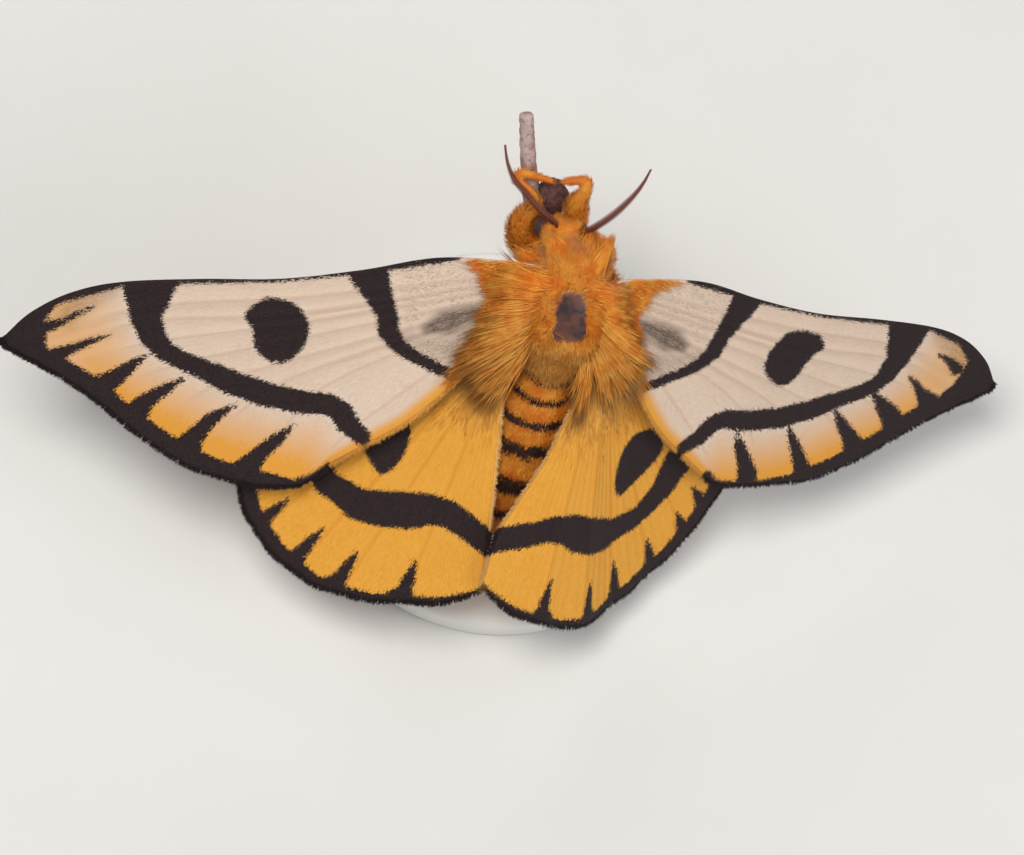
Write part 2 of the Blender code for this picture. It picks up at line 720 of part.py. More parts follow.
FEELERS = {
    "left": (
        (-1.75, 4.1, 0.75), (-2.75, 4.6, 0.75), (-4.1, 5.6, 0.3), (-5.03, 6.3, -0.3), (-5.6, 7.2, -0.8),
        (-5.95, 8.3, -1.2),
    ),
    "right": (
        (-0.15, 4.15, 0.75), (0.75, 4.6, 0.7), (1.6, 5.5, 0.6), (2.7, 6.6, 0.3), (3.4, 7.5, 0.0),
        (3.9, 8.6, -0.4),
    ),
}
FEELER_KNUCKLE = 0.31
FEELER_NECK = 0.26
FEELER_TAPER = 0.3
FEELER_TIP = 0.1
FEELER_RINGS = 22
for side, through in FEELERS.items():
    path = smooth_path(through, FEELER_RINGS)
    radii = []
    for k in range(FEELER_RINGS):
        radii.append((FEELER_KNUCKLE if k % 2 else FEELER_NECK) * (1 - FEELER_TAPER * k / (FEELER_RINGS - 1)))
    radii[-1] = FEELER_TIP
    shape = outward_faces(loft(path, radii, radii, 6))
    mesh_object(f"antenna_{side}", shape, brown_shell, pose)
    face.append(neighbour(shape))

# Head: a round core with locks on its crown, brow, cheeks and beard. Each lock is its place in degrees up and
# to the side, its length and its width.
head_core = outward_faces(ball(HEAD_CENTRE, HEAD_RADII))
HEAD_LOCKS = (
    (95, 0, 1.2, 0.8), (78, -60, 1.0, 0.7), (78, 60, 1.0, 0.7), (62, 0, 1.3, 0.7), (35, -14, 1.3, 0.6),
    (35, 14, 1.3, 0.6), (8, -26, 1.2, 0.6), (8, 0, 1.5, 0.6), (8, 26, 1.2, 0.6), (-18, -36, 1.2, 0.6),
    (-18, -12, 1.4, 0.6), (-18, 12, 1.4, 0.6), (-18, 36, 1.2, 0.6), (-45, -40, 1.2, 0.7), (-45, 0, 1.5, 0.7),
    (-45, 40, 1.2, 0.7), (-75, -70, 1.0, 0.7), (-75, 70, 1.0, 0.7), (100, -90, 0.9, 0.6), (100, 90, 0.9, 0.6),
)
HEAD_LOCK_THICKNESS = 0.36
HEAD_LOCK_RISE = 0.25
head_roots = []
for degrees_up, degrees_side, length, width in HEAD_LOCKS:
    up, side = math.radians(degrees_up), math.radians(degrees_side)
    toward = Vector((math.cos(up) * math.sin(side), math.cos(up) * math.cos(side), math.sin(up)))
    root = HEAD_CENTRE + Vector([toward[k] * HEAD_RADII[k] for k in range(3)])
    outward = Vector([toward[k] / HEAD_RADII[k] for k in range(3)]).normalized()
    lie = Vector((0, 0.8, -0.7)) if degrees_up < 50 else Vector((0.6 * toward.x, 1.0, 0.6))
    head_roots.append((root, outward, lie, length, width, HEAD_LOCK_THICKNESS, HEAD_LOCK_RISE))
THORAX_SIDES = 20
thorax_core = outward_faces(loft(THORAX_PATH, THORAX_WIDTHS, THORAX_HEIGHTS, THORAX_SIDES))
thorax_bare = neighbour(thorax_core)
head_locks = coat(head_roots, wings + face + legs + perch + [thorax_bare])
head = neighbour_of(combine("head", head_core, head_locks, sockets, orange_hair, pose, "EXACT"))

# Abdomen: a sagging row of bulging rings, each with a fringe of short locks at its rear.
ABDOMEN_BULGE = 0.10
ABDOMEN_LOCK = (1.3, 0.42, 0.3)
abdomen_path = smooth_path(ABDOMEN_AXIS, ABDOMEN_RINGS)
abdomen_radii = []
for ring in range(ABDOMEN_RINGS):
    share = ring / (ABDOMEN_RINGS - 1)
    bulge = ABDOMEN_BULGE * (math.sin(math.pi * ((share * ABDOMEN_SEGMENTS) % 1.0)) - 1)
    abdomen_radii.append(along(ABDOMEN_RADII, share) + bulge)
abdomen_core = outward_faces(loft(abdomen_path, abdomen_radii, abdomen_radii, 18))
abdomen_roots = []
for row in range(1, ABDOMEN_SEGMENTS + 1):
    share = (row - 0.35) / ABDOMEN_SEGMENTS
    around = 7 if row > 5 else 9
    for k in range(around):
        angle = 2 * math.pi * (k + 0.5 * (row % 2) + chance.uniform(-0.15, 0.15)) / around
        root, outward = on_loft(abdomen_path, abdomen_radii, abdomen_radii, share, angle)
        back = abdomen_path[-1] - abdomen_path[0]
        abdomen_roots.append((root, outward, back, chance.uniform(1.6, 2.0), *ABDOMEN_LOCK))
abdomen_locks = coat(abdomen_roots, wings + legs + perch + [thorax_bare])
abdomen = neighbour_of(combine("abdomen", abdomen_core, abdomen_locks, (), banded_hair, pose))

# Thorax: locks in rows from the collar back, parted round the bare patch, with long tufts
# behind the wing roots.
BARE_HALF_WIDTH = 0.9
BARE_FROM, BARE_TO = 0.4, -3.0
BARE_MIDDLE = -0.35
THORAX_ROWS = (12, 11, 12, 12, 11, 11, 10, 9)
THORAX_LOCK = (1.25, 0.5, 0.45)
thorax_roots = []
for row, around in enumerate(THORAX_ROWS):
    share = 0.10 + 0.82 * row / (len(THORAX_ROWS) - 1)
    for k in range(around):
        angle = 2 * math.pi * (k + 0.5 * (row % 2) + chance.uniform(-0.18, 0.18)) / around
        root, outward = on_loft(THORAX_PATH, THORAX_WIDTHS, THORAX_HEIGHTS, share, angle)
        if root.z > 2.0 and abs(root.x - BARE_MIDDLE) < BARE_HALF_WIDTH and BARE_TO < root.y < BARE_FROM:
            continue
        rearward = min(max((1.5 - root.y) / 6, 0.0), 1.0)
        lie = Vector((outward.x * 0.5, -1.0, -0.15))
        if row < 2:
            lie = Vector((0.3 * outward.x, 1.0, 0.0)) if row == 0 else Vector((outward.x, 0.4, outward.z))
        length = 1.8 + 1.6 * rearward + chance.uniform(-0.2, 0.2)
        thorax_roots.append((root, outward, lie, length, *THORAX_LOCK))

# A pointed tuft stands forward of the collar on the right. The long tufts are each a root and an end seen
# from above.
COLLAR_TUFT = ((1.55, 1.5, 1.7), (0.3, 1.0, 0.0), 2.5)
root, outward, _, _ = thorax_bare[0].find_nearest(Vector(COLLAR_TUFT[0]))
thorax_roots.append((root, outward, Vector(COLLAR_TUFT[1]), COLLAR_TUFT[2], *THORAX_LOCK))
TUFT_WIDTH = 1.15
TUFT_THICKNESS = 0.5
LONG_TUFTS = (
    ((-1.6, 0.4, 2.6), (-5.2, 0.9)), ((-1.9, 0.2, 2.5), (-5.9, 0.0)), ((-2.5, -0.2, 2.3), (-5.6, -1.2)),
    ((-2.6, -0.9, 2.3), (-6.0, -3.0)), ((-2.6, -1.6, 2.2), (-6.5, -4.9)), ((-2.6, -2.2, 2.1), (-7.0, -6.4)),
    ((-2.5, -2.8, 2.0), (-6.9, -7.8)), ((-2.4, -3.4, 1.8), (-6.0, -9.0)), ((-2.1, -3.9, 1.7), (-4.8, -10.2)),
    ((-1.8, -4.3, 1.6), (-3.4, -10.8)), ((-1.4, -4.6, 1.5), (-2.2, -9.6)),
    ((1.4, 0.4, 2.6), (4.7, 0.6)), ((1.9, 0.2, 2.4), (5.0, -0.4)), ((2.4, -0.4, 2.3), (5.3, -1.8)),
    ((2.5, -1.2, 2.3), (5.9, -3.6)), ((2.5, -1.9, 2.1), (6.6, -5.4)), ((2.4, -2.6, 2.0), (6.0, -6.9)),
    ((2.3, -3.2, 1.9), (5.2, -8.2)), ((2.0, -3.8, 1.7), (4.0, -9.2)), ((1.6, -4.2, 1.6), (2.9, -9.9)),
    ((1.2, -4.6, 1.5), (1.6, -8.8)),
)
over = wings + [abdomen]
others = over + legs + face + perch + [head]
thorax_locks = coat(thorax_roots, others)
for start, end in LONG_TUFTS:
    root, outward, _, _ = thorax_bare[0].find_nearest(Vector(start))
    for thicker in (0.0, 0.2, 0.45):
        shape, spine = draped_lock(root, outward, end, TUFT_WIDTH, TUFT_THICKNESS, over, thicker)
        if clear_of(shape, spine, others):
            thorax_locks.append(outward_faces(shape))
            break
combine("thorax", thorax_core, thorax_locks, (), orange_hair, pose)

# Stand: a round base, and a rod whose top is cut to the slope of the twig that lies on it.
HELD_AT_SHARE = 0.55
BASE_SIDES = 48
turn = Matrix.Rotation(HEAD_UP, 3, "X")
held_index = round(HELD_AT_SHARE * (len(twig_path) - 1))
held_at = turn @ twig_path[held_index] + Vector(THORAX_PLACE)
twig_direction = (turn @ (twig_path[held_index + 1] - twig_path[held_index - 1])).normalized()
down = Vector((0, 0, -1))
under = (down - twig_direction * down.dot(twig_direction)).normalized()
rest_plane = held_at + under * (twig_radii[held_index] + GAP)
rod_points = []
ROD_SIDES = 24
for level in range(2):
    for k in range(ROD_SIDES):
        angle = 2 * math.pi * k / ROD_SIDES
        x = held_at.x + ROD_RADIUS * math.cos(angle)
        y = held_at.y + ROD_RADIUS * math.sin(angle)
        slope = under.x * (x - rest_plane.x) + under.y * (y - rest_plane.y)
        z = BASE_THICKNESS + GAP if level == 0 else rest_plane.z - slope / under.z
        rod_points.append((x, y, z))
rod_faces = []
for k in range(ROD_SIDES):
    after = (k + 1) % ROD_SIDES
    rod_faces.append((k, after, ROD_SIDES + after, ROD_SIDES + k))
rod_faces.append(tuple(reversed(range(ROD_SIDES))))
rod_faces.append(tuple(range(ROD_SIDES, 2 * ROD_SIDES)))
mesh_object("stand_rod", outward_faces((rod_points, rod_faces)), steel)
base_path = [Vector((0, 0, z)) for z in (0, BASE_BEVEL, BASE_THICKNESS - BASE_BEVEL, BASE_THICKNESS)]
base_radii = [BASE_RADIUS - BASE_BEVEL, BASE_RADIUS, BASE_RADIUS, BASE_RADIUS - BASE_BEVEL]
base_shape = loft(base_path, base_radii, base_radii, BASE_SIDES, (0, 1, 0))
mesh_object("stand_base", outward_faces(base_shape), painted_base)
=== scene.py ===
"""A sheep moth, life size, resting head up on a cut twig over a plain display stand.

The moth is drawn in millimetres in its own frame, with X to its right, Y to its head and Z out of its back.
MOTH carries that frame to its place over the stand, in metres.
"""

import math

import bpy
import numpy as np
from mathutils import Matrix, Vector
from mathutils.bvhtree import BVHTree


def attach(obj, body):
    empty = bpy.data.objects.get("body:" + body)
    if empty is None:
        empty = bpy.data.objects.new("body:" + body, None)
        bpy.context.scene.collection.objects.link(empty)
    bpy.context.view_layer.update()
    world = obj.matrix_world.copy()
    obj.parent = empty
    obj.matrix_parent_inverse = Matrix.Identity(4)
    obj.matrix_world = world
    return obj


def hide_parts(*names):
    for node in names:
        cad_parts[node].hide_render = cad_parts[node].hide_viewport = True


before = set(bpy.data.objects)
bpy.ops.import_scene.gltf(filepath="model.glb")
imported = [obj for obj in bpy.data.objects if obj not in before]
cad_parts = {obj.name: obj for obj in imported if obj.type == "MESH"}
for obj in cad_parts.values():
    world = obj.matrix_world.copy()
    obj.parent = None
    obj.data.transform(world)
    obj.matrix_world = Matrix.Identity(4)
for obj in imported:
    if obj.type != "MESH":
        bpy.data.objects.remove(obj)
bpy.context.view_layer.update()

# Room: a plain pale floor, three large soft lamps and a long lens that looks down on the moth's back.
# The lens is shifted so that the moth stands in its frame as it does in the photograph.
HEAD_UP = math.radians(38)
MOTH = Matrix.Translation((0.0005, 0.004, 0.028)) @ Matrix.Rotation(HEAD_UP, 4, "X")
MM = 0.001
PIXEL = 0.066
FRAME_WIDTH = 1024
CAMERA_FAR = 450
LOOK_RIGHT = Vector((0.981, 0.179, 0.072)).normalized()
LOOK_UP = Vector((-0.142, 0.922, -0.359)).normalized()
LOOK_BACK = Vector((-0.131, 0.342, 0.931)).normalized()

lens = bpy.data.cameras.new("long_lens")
lens.lens = 36 * CAMERA_FAR / (PIXEL * FRAME_WIDTH)
lens.shift_x = -59.6 / FRAME_WIDTH
lens.shift_y = -145.8 / FRAME_WIDTH
lens.clip_start = 0.01
camera = bpy.data.objects.new("camera", lens)
bpy.context.scene.collection.objects.link(camera)
turn = MOTH.to_3x3()
looks = Matrix((turn @ LOOK_RIGHT, turn @ LOOK_UP, turn @ LOOK_BACK)).transposed()
camera.matrix_world = Matrix.Translation(MOTH @ (LOOK_BACK * CAMERA_FAR * MM)) @ looks.to_4x4()
bpy.context.scene.camera = camera
bpy.context.scene.view_settings.view_transform = "Standard"


def soft_lamp(name, place, size, watts, colour):
    light = bpy.data.lights.new(name, "AREA")
    light.shape = "DISK"
    light.size = size
    light.energy = watts
    light.color = colour
    lamp = bpy.data.objects.new(name, light)
    bpy.context.scene.collection.objects.link(lamp)
    lamp.location = place
    lamp.rotation_euler = (Vector(place) - Vector((0, 0, 0.02))).to_track_quat("Z", "Y").to_euler()
    return lamp


soft_lamp("key_lamp", (-0.14, -0.06, 0.56), 0.20, 2.3, (1.0, 0.97, 0.93))
soft_lamp("fill_lamp", (0.42, -0.20, 0.40), 0.40, 1.1, (0.98, 0.98, 1.0))
soft_lamp("rear_lamp", (0.05, 0.55, 0.35), 0.30, 0.6, (1.0, 0.98, 0.95))
world = bpy.data.worlds.new("studio")
bpy.context.scene.world = world
world.use_nodes = True
world.node_tree.nodes["Background"].inputs["Color"].default_value = (0.93, 0.95, 1.0, 1)
world.node_tree.nodes["Background"].inputs["Strength"].default_value = 0.31


def add_node(tree, kind, sockets=(), **settings):
    """A shader node with its settings, and its inputs set to a value or joined to another node's output."""
    made = tree.nodes.new(kind)
    for name, value in settings.items():
        setattr(made, name, value)
    for name, value in dict(sockets).items():
        if isinstance(value, bpy.types.NodeSocket):
            tree.links.new(value, made.inputs[name])
        else:
            made.inputs[name].default_value = value
    return made


def object_place(tree):
    return add_node(tree, "ShaderNodeTexCoord").outputs["Object"]


def kept_on(tree, name):
    """The node that reads a value kept on a mesh's points."""
    return add_node(tree, "ShaderNodeAttribute", attribute_name=name)


def math_of(tree, operation, *values, clamp=False):
    made = add_node(tree, "ShaderNodeMath", dict(enumerate(values)), operation=operation, use_clamp=clamp)
    return made.outputs[0]


def mix_of(tree, share, first, second, blend="MIX"):
    made = add_node(tree, "ShaderNodeMix", data_type="RGBA", blend_type=blend)
    for socket, value in ((0, share), (6, first), (7, second)):
        if isinstance(value, bpy.types.NodeSocket):
            tree.links.new(value, made.inputs[socket])
        else:
            made.inputs[socket].default_value = value
    return made.outputs[2]


def range_of(tree, value, low, high, to_low=0.0, to_high=1.0, smooth=True):
    made = add_node(
        tree,
        "ShaderNodeMapRange",
        {0: value, 1: low, 2: high, 3: to_low, 4: to_high},
        interpolation_type="SMOOTHSTEP" if smooth else "LINEAR",
    )
    return made.outputs[0]


def noise_of(tree, place, scale, detail=3.0, roughness=0.6):
    made = add_node(tree, "ShaderNodeTexNoise", {"Scale": scale, "Detail": detail, "Roughness": roughness})
    if place is not None:
        tree.links.new(place, made.inputs["Vector"])
    return made.outputs["Fac"]


def tint(red, green, blue):
    """A colour from its everyday 0 to 255 values."""
    out = []
    for part in (red, green, blue):
        share = part / 255
        out.append(share / 12.92 if share <= 0.04045 else ((share + 0.055) / 1.055) ** 2.4)
    return (*out, 1.0)


def new_material(name, roughness, **sockets):
    material = bpy.data.materials.new(name)
    material.use_nodes = True
    shader = material.node_tree.nodes["Principled BSDF"]
    shader.inputs["Roughness"].default_value = roughness
    for socket, value in sockets.items():
        shader.inputs[socket.replace("_", " ")].default_value = value
    return material, material.node_tree, shader


def bump_to(tree, shader, height, distance, strength=1.0):
    made = add_node(tree, "ShaderNodeBump", {"Height": height, "Distance": distance, "Strength": strength})
    tree.links.new(made.outputs[0], shader.inputs["Normal"])


def keep_on(piece, name, values):
    """Keeps a number, a place or four shares on each point of a piece."""
    kinds = {1: ("FLOAT", "value"), 3: ("FLOAT_VECTOR", "vector"), 4: ("FLOAT_COLOR", "color")}
    kind, field = kinds[values.size // len(piece.data.vertices)]
    kept = piece.data.attributes.new(name, kind, "POINT")
    kept.data.foreach_set(field, values.astype(np.float32).ravel())


def build_mesh(name, points, faces, material, to_world=None, smooth=True):
    """A mesh object from arrays of points and of triangles or quads, carried to its place."""
    points = np.asarray(points, float)
    if to_world is not None:
        matrix = np.array(to_world)
        points = points * MM @ matrix[:3, :3].T + matrix[:3, 3]
    faces = np.asarray(faces, np.int32)
    mesh = bpy.data.meshes.new(name)
    mesh.vertices.add(len(points))
    mesh.vertices.foreach_set("co", points.astype(np.float32).ravel())
    mesh.loops.add(faces.size)
    mesh.loops.foreach_set("vertex_index", faces.ravel())
    mesh.polygons.add(len(faces))
    mesh.polygons.foreach_set("loop_start", np.arange(0, faces.size, faces.shape[1], dtype=np.int32))
    mesh.update(calc_edges=True)
    if smooth:
        mesh.shade_smooth()
    obj = bpy.data.objects.new(name, mesh)
    bpy.context.scene.collection.objects.link(obj)
    mesh.materials.append(material)
    return obj


floor_paint, tree, shader = new_material("floor_paint", 0.7)
grain = noise_of(tree, object_place(tree), 60.0)
pale = mix_of(tree, grain, tint(214, 213, 209), tint(220, 219, 216))
tree.links.new(pale, shader.inputs["Base Color"])
FLOOR_HALF = 1.2
corners = [(-FLOOR_HALF, -FLOOR_HALF, 0), (FLOOR_HALF, -FLOOR_HALF, 0), (FLOOR_HALF, FLOOR_HALF, 0)]
corners.append((-FLOOR_HALF, FLOOR_HALF, 0))
build_mesh("floor", corners, [(0, 1, 2, 3)], floor_paint, smooth=False)


# Stand: a turned base in matte warm white paint, with rounded edges, and a fine brushed steel rod let into
# it. The rod's top is cut to the slope of the twig that it holds.
BASE_RADIUS = 13.5
BASE_THICKNESS = 3.0
BASE_ROUNDING = 0.7
BASE_SIDES = 160
BASE_ARC = 6


def turned(profile, sides):
    """Rings of points round Z from a profile of radii and heights, closed at both ends."""
    angles = np.linspace(0, 2 * math.pi, sides, endpoint=False)
    points = [(r * math.cos(a), r * math.sin(a), z) for r, z in profile for a in angles]
    faces = []
    for ring in range(len(profile) - 1):
        for k in range(sides):
            a = ring * sides + k
            b = ring * sides + (k + 1) % sides
            faces += [(a, b, b + sides), (a, b + sides, a + sides)]
    bottom = len(points)
    points += [(0, 0, profile[0][1]), (0, 0, profile[-1][1])]
    last = (len(profile) - 1) * sides
    for k in range(sides):
        after = (k + 1) % sides
        faces += [(bottom, after, k), (bottom + 1, last + k, last + after)]
    return points, faces


profile = [(BASE_RADIUS - 2, 0.0), (BASE_RADIUS - BASE_ROUNDING, 0.0)]
for end, start_angle in ((0, -90), (1, 0)):
    for k in range(1, BASE_ARC + 1):
        angle = math.radians(start_angle + 90 * k / BASE_ARC)
        height = BASE_ROUNDING if end == 0 else BASE_THICKNESS - BASE_ROUNDING
        reach = BASE_RADIUS - BASE_ROUNDING + BASE_ROUNDING * math.cos(angle)
        profile.append((reach, height + BASE_ROUNDING * math.sin(angle)))
profile += [(r, BASE_THICKNESS) for r in (BASE_RADIUS - 1.2, 9.0, 4.0)]
base_paint, tree, shader = new_material("base_paint", 0.42)
place = object_place(tree)
speck = noise_of(tree, place, 900.0, 4.0)
cloud = noise_of(tree, place, 120.0)
tree.links.new(mix_of(tree, cloud, tint(226, 223, 216), tint(233, 231, 226)), shader.inputs["Base Color"])
tree.links.new(range_of(tree, speck, 0.3, 0.7, 0.38, 0.5), shader.inputs["Roughness"])
bump_to(tree, shader, speck, 0.00003, 0.5)
points, faces = turned(profile, BASE_SIDES)
stand_base = build_mesh("stand_base_turned", points, faces, base_paint, Matrix.Identity(4))
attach(stand_base, "root")
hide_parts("stand_base")

rod_steel, tree, shader = new_material("rod_steel", 0.28, Metallic=1.0)
place = object_place(tree)
stretch = add_node(tree, "ShaderNodeMapping", {"Vector": place, "Scale": (1, 1, 14)})
brushed = noise_of(tree, stretch.outputs[0], 900.0, 2.0)
steel = mix_of(tree, brushed, (0.50, 0.50, 0.50, 1), (0.66, 0.66, 0.65, 1))
tree.links.new(steel, shader.inputs["Base Color"])
tree.links.new(range_of(tree, brushed, 0.3, 0.7, 0.22, 0.38), shader.inputs["Roughness"])
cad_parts["stand_rod"].data.materials.clear()
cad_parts["stand_rod"].data.materials.append(rod_steel)
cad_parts["stand_rod"].data.shade_smooth()


# Twig: a short cut length of shrub twig under the chest, in thin pinkish grey bark with rusty patches. It
# carries one scaled bud. The bud is dark partly in its own colour and partly as painted shade from the head
# and legs above it, and the bark round the bud is painted dark with the same shade. Its ends are cut square.
TWIG = (
    (-4.65, 9.8, -3.4), (-3.6, 5.4, -4.1), (-2.6, 2.6, -4.9), (-0.8, -1.0, -5.9), (1.1, -5.5, -6.8),
    (2.2, -8.5, -7.3),
)
TWIG_RADII = (0.5, 0.55, 0.6, 0.75, 0.62, 0.65, 0.68, 0.7, 0.7)
TWIG_RINGS = 150
TWIG_SIDES = 40
FOOT_RADIUS = 0.25
BUD_CENTRE = np.array((-1.85, 4.05, -4.2))
BUD_RADII = np.array((1.1, 1.3, 0.85))


def on_curve(a, b, c, d, t):
    """The place a share t of the way from b to c on the smooth curve through all four."""
    return 0.5 * (2 * b + (c - a) * t + (2 * a - 5 * b + 4 * c - d) * t**2 + (3 * b - a - 3 * c + d) * t**3)


def smooth_path(points, count):
    """Evenly spaced points along a smooth curve through the given ones."""
    points = np.asarray(points, float)
    ends = np.vstack([2 * points[0] - points[1], points, 2 * points[-1] - points[-2]])
    fine = []
    for i in range(1, len(ends) - 2):
        a, b, c, d = ends[i - 1 : i + 3]
        t = np.linspace(0, 1, 24, endpoint=False)[:, None]
        fine.append(on_curve(a, b, c, d, t))
    fine = np.vstack(fine + [points[-1:]])
    lengths = np.concatenate([[0], np.cumsum(np.linalg.norm(np.diff(fine, axis=0), axis=1))])
    wanted = np.linspace(0, lengths[-1], count)
    return np.stack([np.interp(wanted, lengths, fine[:, k]) for k in range(fine.shape[1])], axis=1)


def along(values, shares):
    """The values at shares of the way along a short list."""
    return np.interp(shares, np.linspace(0, 1, len(values)), values)


def unit(vectors):
    return vectors / np.maximum(np.linalg.norm(vectors, axis=-1, keepdims=True), 1e-9)


def ring_axes(path, up=(0, 0, 1)):
    """The forward, side and up directions at each point of a path."""
    forward = unit(np.gradient(path, axis=0))
    side = unit(np.cross(forward, np.asarray(up, float)))
    return forward, side, np.cross(side, forward)


def ripple(points, wave, seed, layers=4):
    """A smooth random height from -1 to 1 at each point, with bumps about one wave across."""
    draw = np.random.default_rng(seed)
    out = np.zeros(len(points))
    total = 0.0
    for layer in range(layers):
        share = 0.6**layer
        for _ in range(3):
            direction = unit(draw.normal(size=points.shape[1]))
            size = 2 * math.pi / (wave * 0.62**layer) * draw.uniform(0.7, 1.3)
            out += share * np.sin(points @ direction * size + draw.uniform(0, 6.28))
            total += share
    return out / total * 1.6


def tube(path, widths, heights, sides, up=(0, 0, 1)):
    """Rings of points and triangles along a path, with a point in the middle of each end."""
    _, side, top = ring_axes(path, up)
    angles = np.linspace(0, 2 * math.pi, sides, endpoint=False)
    rings = (
        path[:, None]
        + side[:, None] * (np.asarray(widths)[:, None, None] * np.cos(angles)[None, :, None])
        + top[:, None] * (np.asarray(heights)[:, None, None] * np.sin(angles)[None, :, None])
    )
    count = len(path)
    points = np.vstack([rings.reshape(-1, 3), path[:1], path[-1:]])
    k = np.arange(sides)
    after = (k + 1) % sides
    faces = []
    for ring in range(count - 1):
        a, b = ring * sides + k, ring * sides + after
        faces.append(np.stack([a, a + sides, b + sides], axis=1))
        faces.append(np.stack([a, b + sides, b], axis=1))
    last = (count - 1) * sides
    first_point = np.full(sides, count * sides)
    faces.append(np.stack([first_point, k, after], axis=1))
    faces.append(np.stack([first_point + 1, last + after, last + k], axis=1))
    return points, np.vstack(faces)


def ball(centre, radii, rings, sides):
    """A closed oval ball with its poles on Y."""
    angles = np.linspace(0, math.pi, rings + 1)[1:-1]
    path = np.array([(0.0, -math.cos(a), 0.0) for a in angles])
    points, faces = tube(path, np.sin(angles), np.sin(angles), sides)
    points[-2:] = ((0, -1, 0), (0, 1, 0))
    return points * np.asarray(radii) + np.asarray(centre), faces


def joined(shapes):
    """Several shapes as one pair of points and faces."""
    points = np.vstack([p for p, _ in shapes])
    starts = np.cumsum([0] + [len(p) for p, _ in shapes[:-1]])
    faces = np.vstack([np.asarray(f) + start for (_, f), start in zip(shapes, starts)])
    return points, faces


twig_path = smooth_path(TWIG, TWIG_RINGS)
twig_radii = along(TWIG_RADII, np.linspace(0, 1, TWIG_RINGS))
bark_points, bark_faces = tube(twig_path, twig_radii * 0.93, twig_radii * 0.93, TWIG_SIDES)
axis_of = np.repeat(twig_path, TWIG_SIDES, axis=0)
bark_side = bark_points[:-2]
outwards = unit(bark_side - axis_of)
lengthwise = bark_side * np.array((2.6, 0.55, 2.6))
bark_points[:-2] += outwards * (0.05 * ripple(lengthwise, 0.7, 3) + 0.03 * ripple(bark_side, 0.3, 4))[:, None]
shapes = [(bark_points, bark_faces)]
bud_points, bud_faces = ball(BUD_CENTRE, BUD_RADII, 40, 36)
bud_turn = np.arctan2(bud_points[:, 2] - BUD_CENTRE[2], bud_points[:, 0] - BUD_CENTRE[0])
flakes = (bud_points[:, 1] * 1.1 + bud_turn * 3 / (2 * math.pi)) % 1.0
bud_swell = 0.96 + 0.12 * flakes + 0.04 * ripple(bud_points, 0.5, 5)
bud_points = BUD_CENTRE + (bud_points - BUD_CENTRE) * bud_swell[:, None]
shapes.append((bud_points, bud_faces))
twig_bark, tree, shader = new_material("twig_bark", 0.82)
place = object_place(tree)
rusty = noise_of(tree, place, 700.0, 4.0)
fissures = noise_of(tree, place, 3200.0, 5.0, 0.7)
colour = mix_of(tree, range_of(tree, rusty, 0.42, 0.62), tint(186, 164, 160), tint(150, 104, 92))
colour = mix_of(tree, range_of(tree, fissures, 0.3, 0.5), tint(112, 88, 84), colour)
# Painted shade: the bud's dark colour also stands in for the shade of the head and legs, and it spreads on to
# the bark round the bud.
bud_and_shade_share = kept_on(tree, "bud").outputs["Fac"]
bud_and_shade_colour = mix_of(tree, range_of(tree, fissures, 0.3, 0.7), tint(58, 32, 38), tint(104, 66, 62))
colour = mix_of(tree, bud_and_shade_share, colour, bud_and_shade_colour)
tree.links.new(colour, shader.inputs["Base Color"])
bump_to(tree, shader, fissures, 0.00006, 0.8)
twig = build_mesh("twig_with_bud", *joined(shapes), twig_bark, MOTH)
# The bark round the bud takes the bud's dark colour as painted shade, fading with distance from the bud.
bud_and_shade_values = np.zeros(len(twig.data.vertices))
bud_and_shade_values[len(bark_points) :] = 1.0
near_bud = np.linalg.norm((bark_points - BUD_CENTRE) / BUD_RADII, axis=1)
bud_and_shade_values[: len(bark_points)] = np.clip(2.2 - 1.5 * near_bud, 0, 1)
keep_on(twig, "bud", bud_and_shade_values)
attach(twig, "root")
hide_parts("perch_twig")


# Wings: thin scaled membranes stretched on veins, cream and black in front and golden and black behind. Each
# is drawn flat from its root, then bulged, folded and set at its own droop. A marking is a stroke on the flat
# wing, a run of places with a half width, or an outline. Where the two sides differ, each has its own marks.
MEMBRANE_HALF = 0.1
RIM_HALF = 0.04
VEIN_RISE = 0.05
VEIN_HALF = 0.22
WING_LENGTH = 33.0
FOREWING_CAMBER = 0.6
FOREWING_HINGE = (3.5, 0.1, 1.5)
FOREWING_ATTITUDE = {"left": (6.9, 8.5, 0.0), "right": (27.3, 14.0, 3.8)}
HINDWING_HINGE = (3.6, -4.2, -0.6)
HINDWING_ATTITUDE = {"left": (7.3, 8.0, 0.0), "right": (28.8, 15.7, -9.7)}
ROOT_BURIED = 1.3
ACROSS_STEPS = 12
SPOT_STEPS = 48
FOREWING_VEINED = (1,) * 9 + (0,)
FOREWING_PLEAT = 1.7
FOREWING_PLEAT_RISE = 0.022
HINDWING_PLEAT = 1.1
HINDWING_PLEAT_RISE = 0.018
FOREWING_STEPS = 112
HINDWING_STEPS = 84
ROOT_STEPS = 6
FRONT_LINE = (
    (5.5, 0.7), (10.5, -1.2), (15.6, -2.9), (21, -4.1), (26, -5.5), (29.2, -7.1), (31.6, -9.2), (33.1, -11.4),
)
